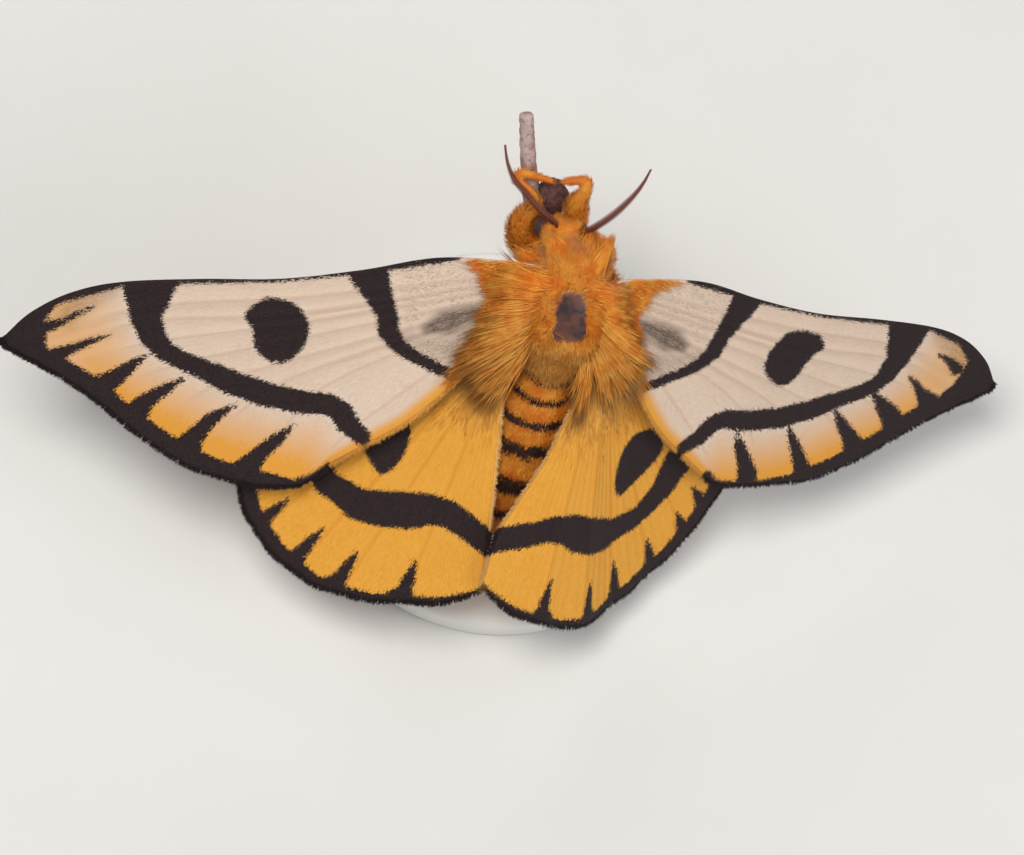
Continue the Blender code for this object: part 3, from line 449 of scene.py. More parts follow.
FOREWING_LINES = (
    (1.3, FRONT_LINE),
    (0.7, ((14.0, -3.9), (24.0, -6.9), (32.8, -12.0))),
    (0.2, ((14.3, -5.2), (24.0, -8.0), (31.5, -12.5))),
    (-0.3, ((14.6, -6.1), (23.0, -9.3), (30.0, -13.0))),
    (-0.8, ((14.6, -7.4), (21.0, -10.5), (26.9, -14.3))),
    (-1.3, ((14.3, -8.9), (19.0, -12.0), (23.4, -16.4))),
    (-1.7, ((12.4, -9.1), (16.5, -13.0), (19.5, -18.2))),
    (-2.1, ((9.6, -8.6), (13.0, -12.5), (15.2, -18.6))),
    (-2.5, ((6.3, -9.6), (9.6, -13.6), (12.2, -17.9))),
    (-3.0, ((3.5, -8.8), (5.8, -11.8), (8.3, -14.1), (10.2, -15.8), (11.0, -16.9))),
)
REAR_CORNER_IN = {"left": (0,) * 10, "right": (0, 0, 0, 0, 0, 0.2, 0.65, 1.25, 1.0, 0.4)}
RIM_DARK = {"left": 0.15, "right": 0.3}
HINDWING_RAYS = (
    (88, 13.5, 0), (78, 16.8, 0), (68, 18.3, 1), (58, 19.2, 1), (52, 20.5, 0), (45, 22.1, 1), (37, 23.3, 1),
    (28, 23.7, 1), (19.5, 23.2, 1), (9, 21.7, 1), (1, 20.7, 0), (-4.9, 19.4, 0),
)
HINDWING_FOLDS = {
    "left": (0, 0, 0, 0, -1, -2, -2, 0, 0, 0, 0, 0),
    "right": (0, 0, 0, 0, -1, -3, -12, -12, 19, 14, 0, 0),
}
HINDWING_ROOT = {
    "left": ((0.0, 0.9), (0.0, 0.2), (0.0, -0.5), (-0.1, -1.0), (-0.25, -1.5)),
    "right": ((0.0, 0.9), (0.05, 0.2), (-0.05, -0.5), (-0.4, -1.1), (-0.95, -1.4)),
}
MARGIN_BULGE = 0.12
INNER_BOW = {"left": 0.0, "right": -0.95}

INNER_BAND_REAR = (
    (8.3, -4.2, 0.72), (8.05, -5.3, 0.74), (7.3, -6.25, 0.6),
    (6.1, -6.95, 0.5), (4.9, -7.35, 0.45), (3.6, -7.7, 0.42),
)
INNER_BAND = {
    "left": ((10.3, -0.5, 1.45), (9.9, -1.5, 1.3), (9.1, -2.8, 0.95)) + INNER_BAND_REAR,
    "right": ((9.6, -0.3, 1.35), (9.35, -1.4, 1.25), (8.8, -2.8, 0.95)) + INNER_BAND_REAR,
}
OUTER_BAND_MIDDLE = (
    (22.4, -9.9, 0.78), (21.1, -10.35, 0.72), (19.7, -10.7, 0.8), (17.6, -11.3, 0.95), (15.3, -11.7, 0.95),
)
OUTER_BAND = {
    "left": ((24.2, -4.6, 2.05), (24.1, -6.1, 1.55), (24.0, -7.6, 1.1), (23.4, -8.9, 0.95))
    + OUTER_BAND_MIDDLE
    + ((13.0, -11.8, 0.9), (11.3, -11.6, 0.85), (10.3, -11.9, 0.8), (9.6, -12.7, 0.8), (8.5, -13.5, 0.62)),
    "right": ((23.85, -4.6, 2.05), (23.8, -6.1, 1.6), (23.7, -7.6, 1.15), (23.2, -8.9, 0.95))
    + OUTER_BAND_MIDDLE
    + ((12.7, -11.65, 0.9), (10.75, -11.3, 0.85), (9.75, -11.7, 0.8), (9.0, -12.5, 0.75), (7.9, -13.2, 0.6)),
}
EYESPOTS = {
    "left": (
        (15.6, -4.25), (14.1, -4.7), (13.25, -5.95), (13.25, -7.3), (13.95, -8.65), (14.9, -9.2),
        (15.9, -9.0), (16.65, -8.05), (16.9, -7.0), (17.5, -6.3), (17.4, -5.6), (16.55, -4.6),
    ),
    "right": (
        (14.9, -4.15), (16.3, -4.75), (16.95, -5.85), (16.2, -6.6), (15.65, -7.8), (14.95, -8.85),
        (13.8, -8.6), (12.65, -7.35), (12.5, -6.0), (13.1, -4.7), (13.8, -4.15),
    ),
}
ROOT_SMUDGE = ((1.8, -2.5, 0.35), (3.2, -3.2, 0.62), (4.4, -4.0, 0.85), (5.5, -4.7, 0.4))
ROOT_SHADE = ((3.7, -5.5, 0.4), (5.0, -6.0, 0.7), (6.6, -5.5, 0.4))
TIP_SHADE = ((26.6, -6.2, 0.5), (28.4, -7.6, 0.8), (29.2, -9.0, 0.7))
FRONT_EDGE_LINE = (
    (4.5, 1.0, 0.28), (10.5, -1.1, 0.35), (16, -2.95, 0.25), (21, -4.05, 0.35), (26, -5.4, 0.4),
    (30, -7.6, 0.5),
)
MARGIN_WEDGES = {
    "left": (
        ((27.4, -7.7, 0.08), (28.5, -8.5, 0.16), (29.5, -9.4, 0.25), (30.5, -10.0, 0.45)),
        ((26.1, -9.55, 0.08), (27.3, -10.3, 0.25), (28.75, -11.35, 0.4), (29.8, -12.2, 0.7)),
        ((23.5, -10.5, 0.1), (24.35, -11.45, 0.4), (25.3, -12.6, 0.6), (26.2, -13.6, 0.9)),
        ((20.8, -11.7, 0.1), (21.8, -12.6, 0.38), (23.0, -13.9, 0.6), (23.7, -15.1, 0.9)),
        ((17.15, -12.95, 0.1), (18.45, -14.15, 0.46), (19.35, -15.65, 0.6), (19.9, -16.8, 0.95)),
        ((13.1, -13.6, 0.1), (14.05, -14.95, 0.46), (15.15, -16.5, 0.6), (15.7, -17.7, 0.95)),
    ),
    "right": (
        ((27.1, -7.95, 0.1), (28.1, -8.55, 0.25), (29.3, -9.6, 0.5)),
        ((25.1, -9.5, 0.1), (25.9, -10.25, 0.25), (26.7, -11.2, 0.42), (27.8, -12.4, 0.9)),
        ((22.3, -10.4, 0.1), (23.45, -11.6, 0.5), (24.6, -12.8, 0.75), (25.5, -14.1, 0.9)),
        ((19.5, -11.5, 0.1), (20.5, -12.8, 0.4), (21.55, -14.1, 0.56), (22.5, -15.4, 0.85)),
        ((16.1, -12.5, 0.1), (16.9, -13.85, 0.36), (17.8, -15.3, 0.48), (18.6, -16.85, 0.7)),
        ((11.9, -12.5, 0.1), (12.6, -13.8, 0.42), (13.35, -15.2, 0.56), (14.0, -16.6, 0.85)),
    ),
}
MARGIN_LINE = (
    (31.5, -12.5, 1.2), (30.0, -13.0, 1.4), (26.9, -14.3, 1.4), (24.7, -15.6, 1.25), (21.4, -17.3, 1.2),
    (17.7, -18.4, 1.1), (15.2, -18.6, 1.15), (13.7, -18.3, 0.8), (12.4, -18.0, 0.4), (11.3, -17.2, 0.3),
    (10.4, -16.0, 0.14),
)
MARGIN_MORE = {"left": 0.0, "right": 0.35}
WING_TIP = {
    "left": (
        (26.3, -5.6), (27.2, -6.0), (28.7, -6.9), (29.9, -8.1), (30.5, -9.4), (30.2, -11.3), (29.6, -12.2),
        (36.0, -13.5), (36.0, -4.0), (27.0, -3.5),
    ),
    "right": (
        (25.3, -5.6), (26.8, -5.9), (28.4, -7.0), (30.0, -9.1), (29.4, -10.8), (28.6, -11.6), (29.5, -13.5),
        (36.0, -13.5), (36.0, -4.0), (26.0, -3.5),
    ),
}
HIND_BAND = (
    (88, 11.6, 1.1), (76, 12.4, 1.2), (62, 13.4, 1.3), (52, 14.2, 1.4), (44.5, 15.9, 1.1), (39, 16.8, 0.95),
    (35, 17.2, 0.95), (31, 16.9, 1.05), (26.5, 16.9, 1.2), (22, 16.2, 1.35), (16.5, 15.4, 1.4),
    (11.5, 14.6, 1.2), (6, 14.4, 1.05), (1, 14.9, 0.98), (-3, 15.5, 0.95), (-8, 16.4, 0.95),
)
HIND_SPOT = (
    (47.3, 9.6), (50.0, 11.0), (48.0, 12.4), (41.3, 13.3), (34.0, 14.0), (30.4, 14.0),
    (28.9, 12.6), (31.8, 10.5), (39.7, 9.3),
)
HIND_SPOT_TURN = {"left": -3.5, "right": 0.0}
HIND_WEDGES = (
    (68, 16.0), (58, 16.6), (51, 17.6), (45.5, 19.1), (37.8, 20.0), (29.0, 19.8), (20.8, 19.9), (9.5, 18.5),
)
HIND_WEDGE_HALVES = ((0, 0.08), (0.35, 0.36), (0.7, 0.52), (1, 1.2))
HIND_MARGIN = (
    (88, 1.2), (60, 1.3), (50, 1.15), (40, 1.05), (30, 0.95),
    (22, 0.6), (12, 0.45), (3, 0.42), (-2, 0.2), (-5, 0.05),
)


def stroke(points, run):
    """The distance in millimetres from each flat point to the edge of a stroke, less than 0 inside it."""
    best = np.full(len(points), 1e3)
    for (ax, ay, ar), (bx, by, br) in zip(run, run[1:]):
        a, b = np.array((ax, ay)), np.array((bx, by))
        t = np.clip(((points - a) @ (b - a)) / max((b - a) @ (b - a), 1e-9), 0, 1)
        away = np.linalg.norm(points - a - t[:, None] * (b - a), axis=1)
        best = np.minimum(best, away - (ar + (br - ar) * t))
    return best


def inside_polygon(points, corners):
    """The distance to a closed outline, less than 0 inside it."""
    inside = np.zeros(len(points), bool)
    best = np.full(len(points), 1e3)
    for a, b in zip(corners, corners[1:] + corners[:1]):
        a, b = np.array(a[:2], float), np.array(b[:2], float)
        t = np.clip(((points - a) @ (b - a)) / max((b - a) @ (b - a), 1e-9), 0, 1)
        best = np.minimum(best, np.linalg.norm(points - a - t[:, None] * (b - a), axis=1))
        crosses = (a[1] > points[:, 1]) != (b[1] > points[:, 1])
        at = a[0] + (points[:, 1] - a[1]) / ((b[1] - a[1]) if a[1] != b[1] else 1e-9) * (b[0] - a[0])
        inside ^= crosses & (points[:, 0] < at)
    return np.where(inside, -best, best)


def step_between(low, high, value):
    t = np.clip((value - low) / (high - low), 0, 1)
    return t * t * (3 - 2 * t)


def wing_frame(side, attitude, hinge):
    """The hinge and the axes of a wing drawn flat: out from the hinge, forwards, and up off its face."""
    droop, lift, sweep = (math.radians(a) for a in attitude[side])
    turned_by = Matrix.Rotation(droop, 3, "Y") @ Matrix.Rotation(lift, 3, "X")
    turned_by = turned_by @ Matrix.Rotation(sweep, 3, "Z")
    mirror = Matrix.Diagonal((-1 if side == "left" else 1, 1, 1))
    return np.array(mirror @ Vector(hinge)), np.array(mirror @ turned_by)


def across_lines(lines):
    """Smoothly joins neighbouring lines of points: every line is kept, with more between each two."""
    lines = np.asarray(lines)
    ends = np.concatenate([2 * lines[:1] - lines[1:2], lines, 2 * lines[-1:] - lines[-2:-1]])
    out = []
    for i in range(1, len(ends) - 2):
        a, b, c, d = ends[i - 1 : i + 3]
        for t in np.arange(ACROSS_STEPS) / ACROSS_STEPS:
            out.append(on_curve(a, b, c, d, t))
    out.append(lines[-1])
    return np.array(out)


def wing_solid(grid, ridges):
    """A closed thin solid over a grid of points, raised at its veins and thinner at its rim."""
    rows, columns = grid.shape[:2]
    down = np.gradient(grid, axis=0)
    out = np.gradient(grid, axis=1)
    normal = unit(np.cross(down, out))
    if normal[rows // 2, columns // 2, 2] < 0:
        normal = -normal
    half = np.full((rows, columns), MEMBRANE_HALF)
    half[:, -1] = RIM_HALF
    half[0, :] = RIM_HALF
    half[-1, :] = RIM_HALF
    top = grid + normal * (half + ridges)[..., None]
    under = grid - normal * half[..., None] + normal * (0.6 * ridges)[..., None]
    points = np.vstack([top.reshape(-1, 3), under.reshape(-1, 3)])
    i, j = np.meshgrid(np.arange(rows - 1), np.arange(columns - 1), indexing="ij")
    a = (i * columns + j).ravel()
    b = a + columns
    upper = np.vstack([np.stack([a, a + 1, b + 1], axis=1), np.stack([a, b + 1, b], axis=1)])
    lower = upper[:, ::-1] + rows * columns
    rim = np.concatenate(
        [
            np.arange(rows) * columns,
            (rows - 1) * columns + np.arange(1, columns),
            np.arange(rows - 2, -1, -1) * columns + columns - 1,
            np.arange(columns - 2, 0, -1),
        ]
    )
    after = np.roll(rim, -1)
    under_rim = rim + rows * columns
    under_after = after + rows * columns
    sides = [np.stack([rim, after, under_after], axis=1), np.stack([rim, under_after, under_rim], axis=1)]
    faces = np.vstack([upper, lower, *sides])
    corner = points[upper[len(upper) // 2]]
    facing = np.cross(corner[1] - corner[0], corner[2] - corner[0]) @ normal[rows // 2, columns // 2]
    if facing < 0:
        faces = faces[:, ::-1]
    return points, faces


def vein_heights(grid, veined, fade):
    """How far each grid point lies from its nearest vein, and the ridge there."""
    rows = len(grid)
    place = np.arange(rows) / ACROSS_STEPS
    far = np.full(grid.shape[:2], 9.0)
    for k, vein in enumerate(veined):
        if vein:
            near = np.abs(place - k) <= 1.2
            away = np.linalg.norm(grid[near] - grid[k * ACROSS_STEPS], axis=2)
            far[near] = np.minimum(far[near], away)
    return far, VEIN_RISE * np.exp(-((far / VEIN_HALF) ** 2)) * fade


def scaled_wing(name, grid, flat, dark, smudge, warm, far, ridges, across, node, material):
    """The wing as a piece, with its marks kept as values on its points."""
    points, faces = wing_solid(grid, ridges)
    wing = build_mesh(name, points, faces, material, MOTH)
    marks = np.stack([dark.ravel(), smudge.ravel(), warm.ravel(), np.minimum(far.ravel(), 3.0)], axis=1)
    keep_on(wing, "marks", np.vstack([marks, marks]))
    lie = np.stack([flat[..., 0].ravel(), flat[..., 1].ravel(), across.ravel()], axis=1)
    keep_on(wing, "lie", np.vstack([lie, lie + np.array((50.0, 0, 0))]))
    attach(wing, "root")
    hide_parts(node)
    return wing, (points, faces)


def ragged_scales():
    """Powdery wing scales as a shader group: a mark's edge frayed along the lie, and the scales' grain."""
    group = bpy.data.node_groups.new("ragged_scales", "ShaderNodeTree")
    for name, kind in (("Lie", "NodeSocketVector"), ("Edge", "NodeSocketFloat"), ("Fray", "NodeSocketFloat")):
        group.interface.new_socket(name, in_out="INPUT", socket_type=kind)
    for name in ("Mask", "Grain", "Streak"):
        group.interface.new_socket(name, in_out="OUTPUT", socket_type="NodeSocketFloat")
    inner = add_node(group, "NodeGroupInput").outputs
    combed = add_node(group, "ShaderNodeMapping", {"Vector": inner["Lie"], "Scale": (1.2, 1.2, 9.0)})
    fine = noise_of(group, combed.outputs[0], 2.2, 3.0, 0.65)
    scales = noise_of(group, inner["Lie"], 7.0, 4.0, 0.75)
    off_middle = [math_of(group, "SUBTRACT", part, 0.5) for part in (fine, scales)]
    wobble = math_of(group, "ADD", *off_middle)
    frayed = math_of(group, "ADD", inner["Edge"], math_of(group, "MULTIPLY", wobble, inner["Fray"]))
    outer = add_node(group, "NodeGroupOutput")
    group.links.new(range_of(group, frayed, -0.07, 0.07, 1.0, 0.0), outer.inputs["Mask"])
    group.links.new(scales, outer.inputs["Grain"])
    group.links.new(fine, outer.inputs["Streak"])
    return group


SCALES = ragged_scales()


def wing_material(name, ground, pale, warm_colour, black, vein_colour):
    """Matte scales: the ground with warm parts, veins, smudges and frayed black marks."""
    material, tree, shader = new_material(name, 0.7, Specular_IOR_Level=0.18)
    marks = kept_on(tree, "marks")
    split = add_node(tree, "ShaderNodeSeparateColor", {0: marks.outputs["Color"]})
    lie = kept_on(tree, "lie").outputs["Vector"]
    scales = add_node(tree, "ShaderNodeGroup", node_tree=SCALES)
    tree.links.new(lie, scales.inputs["Lie"])
    tree.links.new(split.outputs["Red"], scales.inputs["Edge"])
    scales.inputs["Fray"].default_value = 0.9
    grain, streak = scales.outputs["Grain"], scales.outputs["Streak"]
    broad = noise_of(tree, lie, 0.35, 2.0)
    colour = mix_of(tree, range_of(tree, streak, 0.3, 0.7), ground, pale)
    colour = mix_of(tree, range_of(tree, broad, 0.35, 0.7, 0.0, 0.35), colour, pale)
    warmth = math_of(tree, "ADD", split.outputs["Blue"], range_of(tree, streak, 0.3, 0.7, -0.1, 0.1))
    by_band = range_of(tree, split.outputs["Blue"], 0.0, 0.1)
    warmth = math_of(tree, "MULTIPLY", range_of(tree, warmth, 0.08, 0.95, smooth=False), by_band)
    colour = mix_of(tree, warmth, colour, warm_colour)
    by_vein = range_of(tree, marks.outputs["Alpha"], 0.03, 0.22, 0.4, 0.0)
    by_vein = math_of(tree, "MULTIPLY", by_vein, range_of(tree, split.outputs["Blue"], 0.1, 0.6, 1.0, 0.15))
    colour = mix_of(tree, by_vein, colour, vein_colour)
    smudged = math_of(tree, "MULTIPLY", split.outputs["Green"], range_of(tree, streak, 0.36, 0.6, 0.35, 1.0))
    colour = mix_of(tree, smudged, colour, tint(64, 48, 46))
    flecks = range_of(tree, grain, 0.66, 0.74, 0.0, 0.6)
    colour = mix_of(tree, flecks, colour, mix_of(tree, 0.5, colour, black))
    black_varied = mix_of(tree, range_of(tree, grain, 0.35, 0.75), black, tint(62, 46, 46))
    colour = mix_of(tree, scales.outputs["Mask"], colour, black_varied)
    tree.links.new(colour, shader.inputs["Base Color"])
    tree.links.new(range_of(tree, grain, 0.3, 0.7, 0.6, 0.85), shader.inputs["Roughness"])
    height = math_of(tree, "ADD", math_of(tree, "MULTIPLY", streak, 0.6), grain)
    bump_to(tree, shader, height, 0.00005, 0.7)
    return material


cream_scales = wing_material(
    "cream_scales", tint(208, 181, 158), tint(222, 202, 182), tint(224, 156, 60), tint(30, 22, 24),
    tint(198, 164, 140)
)
gold_scales = wing_material(
    "gold_scales", tint(222, 150, 44), tint(230, 168, 70), tint(232, 172, 88), tint(32, 23, 25),
    tint(212, 134, 38)
)

wing_solids = {}
wing_grids = {}
for side in ("left", "right"):
    hinge, axes = wing_frame(side, FOREWING_ATTITUDE, FOREWING_HINGE)
    lines = []
    for (root, through), drawn_in in zip(FOREWING_LINES, REAR_CORNER_IN[side]):
        end = (through[-1][0], through[-1][1] + drawn_in)
        from_root = [(-ROOT_BURIED, 0.8 * root), (0.0, root), *through[:-1], end]
        lines.append(smooth_path(from_root, FOREWING_STEPS))
    flat = across_lines(lines)
    u, v = flat[..., 0], flat[..., 1]
    bulge = FOREWING_CAMBER * np.sin(math.pi * np.clip(u / WING_LENGTH, 0, 1))
    behind_fold = np.clip(-(v + 3.2 + 0.95 * (u - 1.0)) / 1.38, 0, 3.0)
    raised = np.stack([u, v, bulge + 0.12 * behind_fold], axis=2)
    reach = np.broadcast_to(np.linspace(0, 1, FOREWING_STEPS), u.shape)
    far, ridges = vein_heights(raised, FOREWING_VEINED, 1 - 0.6 * reach**3)
    across = np.broadcast_to((np.arange(len(flat)) / ACROSS_STEPS * FOREWING_PLEAT)[:, None], u.shape)
    pleat = FOREWING_PLEAT_RISE * np.cos(2 * math.pi * across / FOREWING_PLEAT) * np.clip(u / 10, 0, 1)
    raised[..., 2] += pleat
    grid = hinge + raised @ axes.T
    spots = flat.reshape(-1, 2)
    far_corners = [(8.0, -19.0), (20.0, -23.0), (37.0, -15.0), (36.0, -3.0), (26.0, -2.0)]
    beyond = [(p[0], p[1]) for p in OUTER_BAND[side]] + far_corners
    from_band = stroke(spots, OUTER_BAND[side])
    dark = np.minimum(from_band, inside_polygon(spots, list(WING_TIP[side])))
    eyespot = smooth_path(EYESPOTS[side] + EYESPOTS[side][:1], SPOT_STEPS)
    dark = np.minimum(dark, inside_polygon(spots, [tuple(corner) for corner in eyespot]))
    margin_line = [(p[0], p[1], p[2] + MARGIN_MORE[side]) for p in MARGIN_LINE]
    rim = [(*place, RIM_DARK[side]) for place in flat[::4, -1]]
    for run in (INNER_BAND[side], FRONT_EDGE_LINE, *MARGIN_WEDGES[side], margin_line, rim):
        dark = np.minimum(dark, stroke(spots, run))
    smudge = step_between(0.5, -0.4, stroke(spots, ROOT_SMUDGE))
    smudge = np.maximum(smudge, 0.4 * step_between(0.7, -0.5, stroke(spots, ROOT_SHADE)))
    smudge = np.maximum(smudge, 0.4 * step_between(0.6, -0.6, stroke(spots, TIP_SHADE)))
    warm = np.clip(from_band / 4.0, 0, 1) ** 0.9 * (inside_polygon(spots, beyond) < 0)
    warm *= 1 - 0.4 * step_between(25.0, 28.5, spots[:, 0])
    inner_edge = [(p[0], p[1], 0.0) for p in FOREWING_LINES[-1][1]]
    warm = np.maximum(warm, step_between(1.15, 0.1, stroke(spots, inner_edge)))
    wing, solid = scaled_wing(
        f"forewing_{side}_scaled", grid, flat, dark, smudge, warm, far, ridges, across, f"forewing_{side}",
        cream_scales,
    )
    wing_solids["fore", side] = solid
    wing_grids["fore", side] = (grid, flat, dark.reshape(u.shape))

    hinge, axes = wing_frame(side, HINDWING_ATTITUDE, HINDWING_HINGE)
    sign = -1 if side == "left" else 1
    listed = []
    for k, (degrees, length, vein) in enumerate(HINDWING_RAYS):
        listed.append((degrees, length, vein, HINDWING_FOLDS[side][k]))
        if 0 < k < len(HINDWING_RAYS) - 2:
            before, here, after, beyond_it = (HINDWING_RAYS[k + j] for j in (-1, 0, 1, 2))
            bulged = (9 * (here[1] + after[1]) - before[1] - beyond_it[1]) / 16
            listed.append(((here[0] + after[0]) / 2, bulged + MARGIN_BULGE, 0, 0))
    normal = Vector(axes @ np.array((0, 0, 1.0)))
    angles = [math.radians(ray[0]) for ray in listed]
    direction = Vector(axes @ np.array((math.sin(angles[0]), -math.cos(angles[0]), 0)))
    folded = []
    for k, (degrees, length, vein, fold) in enumerate(listed):
        if k:
            direction = Matrix.Rotation((angles[k - 1] - angles[k]) * -sign, 3, normal) @ direction
        normal = Matrix.Rotation(math.radians(fold) * sign, 3, direction) @ normal
        share = k / (len(listed) - 1)
        inward = along([spot[0] for spot in HINDWING_ROOT[side]], share)
        forwards = along([spot[1] for spot in HINDWING_ROOT[side]], share)
        start = hinge + np.array((inward * sign, forwards, 0))
        end = hinge + np.array(direction) * length
        buried = start - np.array((ROOT_BURIED * sign, -0.3, 0.3))
        flat_start = np.array((inward, forwards))
        flat_end = length * np.array((math.sin(angles[k]), -math.cos(angles[k])))
        flat_buried = flat_start - np.array((ROOT_BURIED, -0.3))
        under = np.linspace(0, 1, ROOT_STEPS, endpoint=False)[:, None]
        shares = np.linspace(0, 1, HINDWING_STEPS - ROOT_STEPS)[:, None]
        run = np.vstack([buried + (start - buried) * under, start + (end - start) * shares])
        if k == len(listed) - 1:
            aside = np.cross(np.array(normal), np.array(direction)) * INNER_BOW[side]
            run[ROOT_STEPS:] += aside * np.interp(shares, (0.45, 0.78, 1.0), (0.0, 1.0, 0.25))
        flat_root = flat_buried + (flat_start - flat_buried) * under
        flat_run = np.vstack([flat_root, flat_start + (flat_end - flat_start) * shares])
        folded.append(np.hstack([run, flat_run]))
    both = across_lines(folded)
    grid, flat = both[..., :3], both[..., 3:]
    reach = np.broadcast_to(np.linspace(0, 1, HINDWING_STEPS), flat.shape[:2])
    fade = np.clip(4 * reach, 0, 1) * (1 - 0.6 * reach**3)
    far, ridges = vein_heights(grid, [ray[2] for ray in listed], fade)
    across = np.arange(len(flat)) / ACROSS_STEPS * HINDWING_PLEAT
    across = np.broadcast_to(across[:, None], flat.shape[:2])
    pleat_wave = np.cos(4 * math.pi * across / HINDWING_PLEAT) * np.clip(reach * 2, 0, 1)
    ridges = ridges + pleat_wave * HINDWING_PLEAT_RISE
    spots = flat.reshape(-1, 2)
    polar = [(r * math.sin(math.radians(a)), -r * math.cos(math.radians(a)), w) for a, r, w in HIND_BAND]
    turned_spot = [(math.radians(a + HIND_SPOT_TURN[side]), r) for a, r in HIND_SPOT + HIND_SPOT[:1]]
    spot = smooth_path([(r * math.sin(a), -r * math.cos(a)) for a, r in turned_spot], SPOT_STEPS)
    dark = np.minimum(stroke(spots, polar), inside_polygon(spots, [tuple(corner) for corner in spot]))
    known_at = [-a for a, _ in HIND_MARGIN]
    margin_half = np.interp([-math.degrees(a) for a in angles], known_at, [w for _, w in HIND_MARGIN])
    edge = [
        (ray[1] * math.sin(a), -ray[1] * math.cos(a), w) for ray, a, w in zip(listed, angles, margin_half)
    ]
    dark = np.minimum(dark, stroke(spots, edge))
    for degrees, tip in HIND_WEDGES:
        toward = np.array((math.sin(math.radians(degrees)), -math.cos(math.radians(degrees))))
        long = np.interp(degrees, [ray[0] for ray in listed[::-1]], [ray[1] for ray in listed[::-1]])
        run = [(*(toward * (tip + t * (long - tip))), w) for t, w in HIND_WEDGE_HALVES]
        dark = np.minimum(dark, stroke(spots, run))
    smudge = np.zeros(len(spots))
    warm = 0.55 * step_between(9.0, 4.0, np.linalg.norm(spots, axis=1))
    wing, solid = scaled_wing(
        f"hindwing_{side}_scaled", grid, flat, dark, smudge, warm, far, ridges, across, f"hindwing_{side}",
        gold_scales,
    )
    wing_solids["hind", side] = solid
    wing_grids["hind", side] = (grid, flat, dark.reshape(flat.shape[:2]))


# Skin: one closed skin over thorax, head, abdomen and legs, a darker orange under its coat. The middle of the
# back is rubbed bare, and the abdomen is ringed with black. The same marks go on to the coat.
THORAX_PATH = np.array(
    (
        (-0.6, 2.0, -0.3), (-0.4, 1.3, -0.1), (-0.2, 0.1, 0.0), (-0.1, -1.6, 0.0), (-0.1, -3.4, -0.2),
        (-0.1, -5.0, -0.7), (-0.2, -5.9, -1.2),
    )
)
THORAX_WIDTHS = (1.3, 2.4, 3.05, 3.2, 3.0, 2.5, 1.9)
THORAX_HEIGHTS = (1.2, 2.2, 2.95, 3.1, 2.85, 2.3, 1.7)
ABDOMEN_AXIS = (
    (-0.2, -6.2, -1.4), (-0.5, -9.0, -3.0), (-0.9, -13.0, -4.1), (-1.4, -17.0, -4.7), (-1.7, -20.4, -5.1),
)
ABDOMEN_RADII = (1.7, 2.4, 2.7, 2.75, 2.65, 2.4, 2.0, 1.3, 0.5)
ABDOMEN_SEGMENTS = 7
HEAD_CENTRE = np.array((-1.05, 2.95, -0.8))
HEAD_RADII = np.array((1.15, 0.72, 0.95))
LEG_RADII = (0.45, 0.5, 0.5, 0.45, 0.38, 0.27, 0.25, 0.24, 0.17)
FORELEG_RADII = {
    "front_left": (0.5, 0.75, 0.8, 0.5, 0.36, 0.3, 0.28, 0.26, 0.17),
    "front_right": (0.55, 0.7, 0.76, 0.72, 0.62, 0.46, 0.31, 0.29, 0.2),
}
LEGS = {
    "front_left": (
        (
            (-2.2, 1.0, -3.1), (-3.65, 1.75, -2.55), (-3.7, 2.9, -2.45), (-3.15, 3.8, -2.45),
            (-3.35, 4.65, -2.45), (-4.05, 5.2, -2.5), (-4.6, 5.5, -2.55), (-4.6, 5.9, -2.6),
            (-4.0, 6.0, -2.65), (-2.15, 5.7, -2.75),
        ),
        (),
    ),
    "front_right": (
        (
            (0.3, 1.7, -3.1), (-0.1, 3.0, -3.0), (-0.3, 4.4, -2.6), (0.05, 5.7, -2.3), (-0.05, 6.22, -2.35),
            (-0.7, 6.08, -2.45), (-1.5, 5.85, -2.6),
        ),
        (),
    ),
    "middle_left": (
        ((-1.9, -0.4, -3.5), (-3.5, 0.4, -4.4), (-3.9, 1.6, -4.9)),
        ((0.36, 15), (0.36, 45), (0.37, 75)),
    ),
    "middle_right": (
        ((1.4, -0.4, -3.5), (2.5, 0.2, -4.4), (2.0, 0.9, -5.3)),
        ((0.46, 190), (0.46, 225), (0.46, 260)),
    ),
    "hind_left": (
        ((-1.6, -3.2, -3.4), (-3.4, -3.6, -4.5), (-3.0, -3.9, -5.9)),
        ((0.71, 0), (0.72, -35), (0.73, -70)),
    ),
    "hind_right": (
        ((1.4, -3.2, -3.4), (3.5, -3.4, -4.2), (3.6, -4.6, -5.2)),
        ((0.75, 160), (0.76, 195), (0.77, 230)),
    ),
}
SKIN_SHARE = 0.86
ABDOMEN_SHARE = 0.92
SKIN_VOXEL = 0.13
ABDOMEN_STEPS = 120
LEG_STEPS = 70
BARE_FRONT = np.array((-0.18, 0.15))
BARE_REAR = np.array((0.2, -3.5))
BARE_HALVES = (0.85, 1.3)
ABDOMEN_RINGS = (
    (0.066, 0.024), (0.177, 0.028), (0.312, 0.034), (0.458, 0.041), (0.668, 0.042), (0.848, 0.038),
)
RUBBED_SPOTS = ((-2.1, 1.3, 0.8), (-0.25, 2.5, 0.9), (1.65, 1.05, 0.8))


def round_twig(share, degrees):
    """A point beside the twig that leaves a foot clear of its bark."""
    _, side, top = ring_axes(twig_path)
    at = min(int(round(share * (TWIG_RINGS - 1))), TWIG_RINGS - 1)
    off = twig_radii[at] + 0.32 + FOOT_RADIUS
    angle = math.radians(degrees)
    return twig_path[at] + side[at] * (off * math.cos(angle)) + top[at] * (off * math.sin(angle))


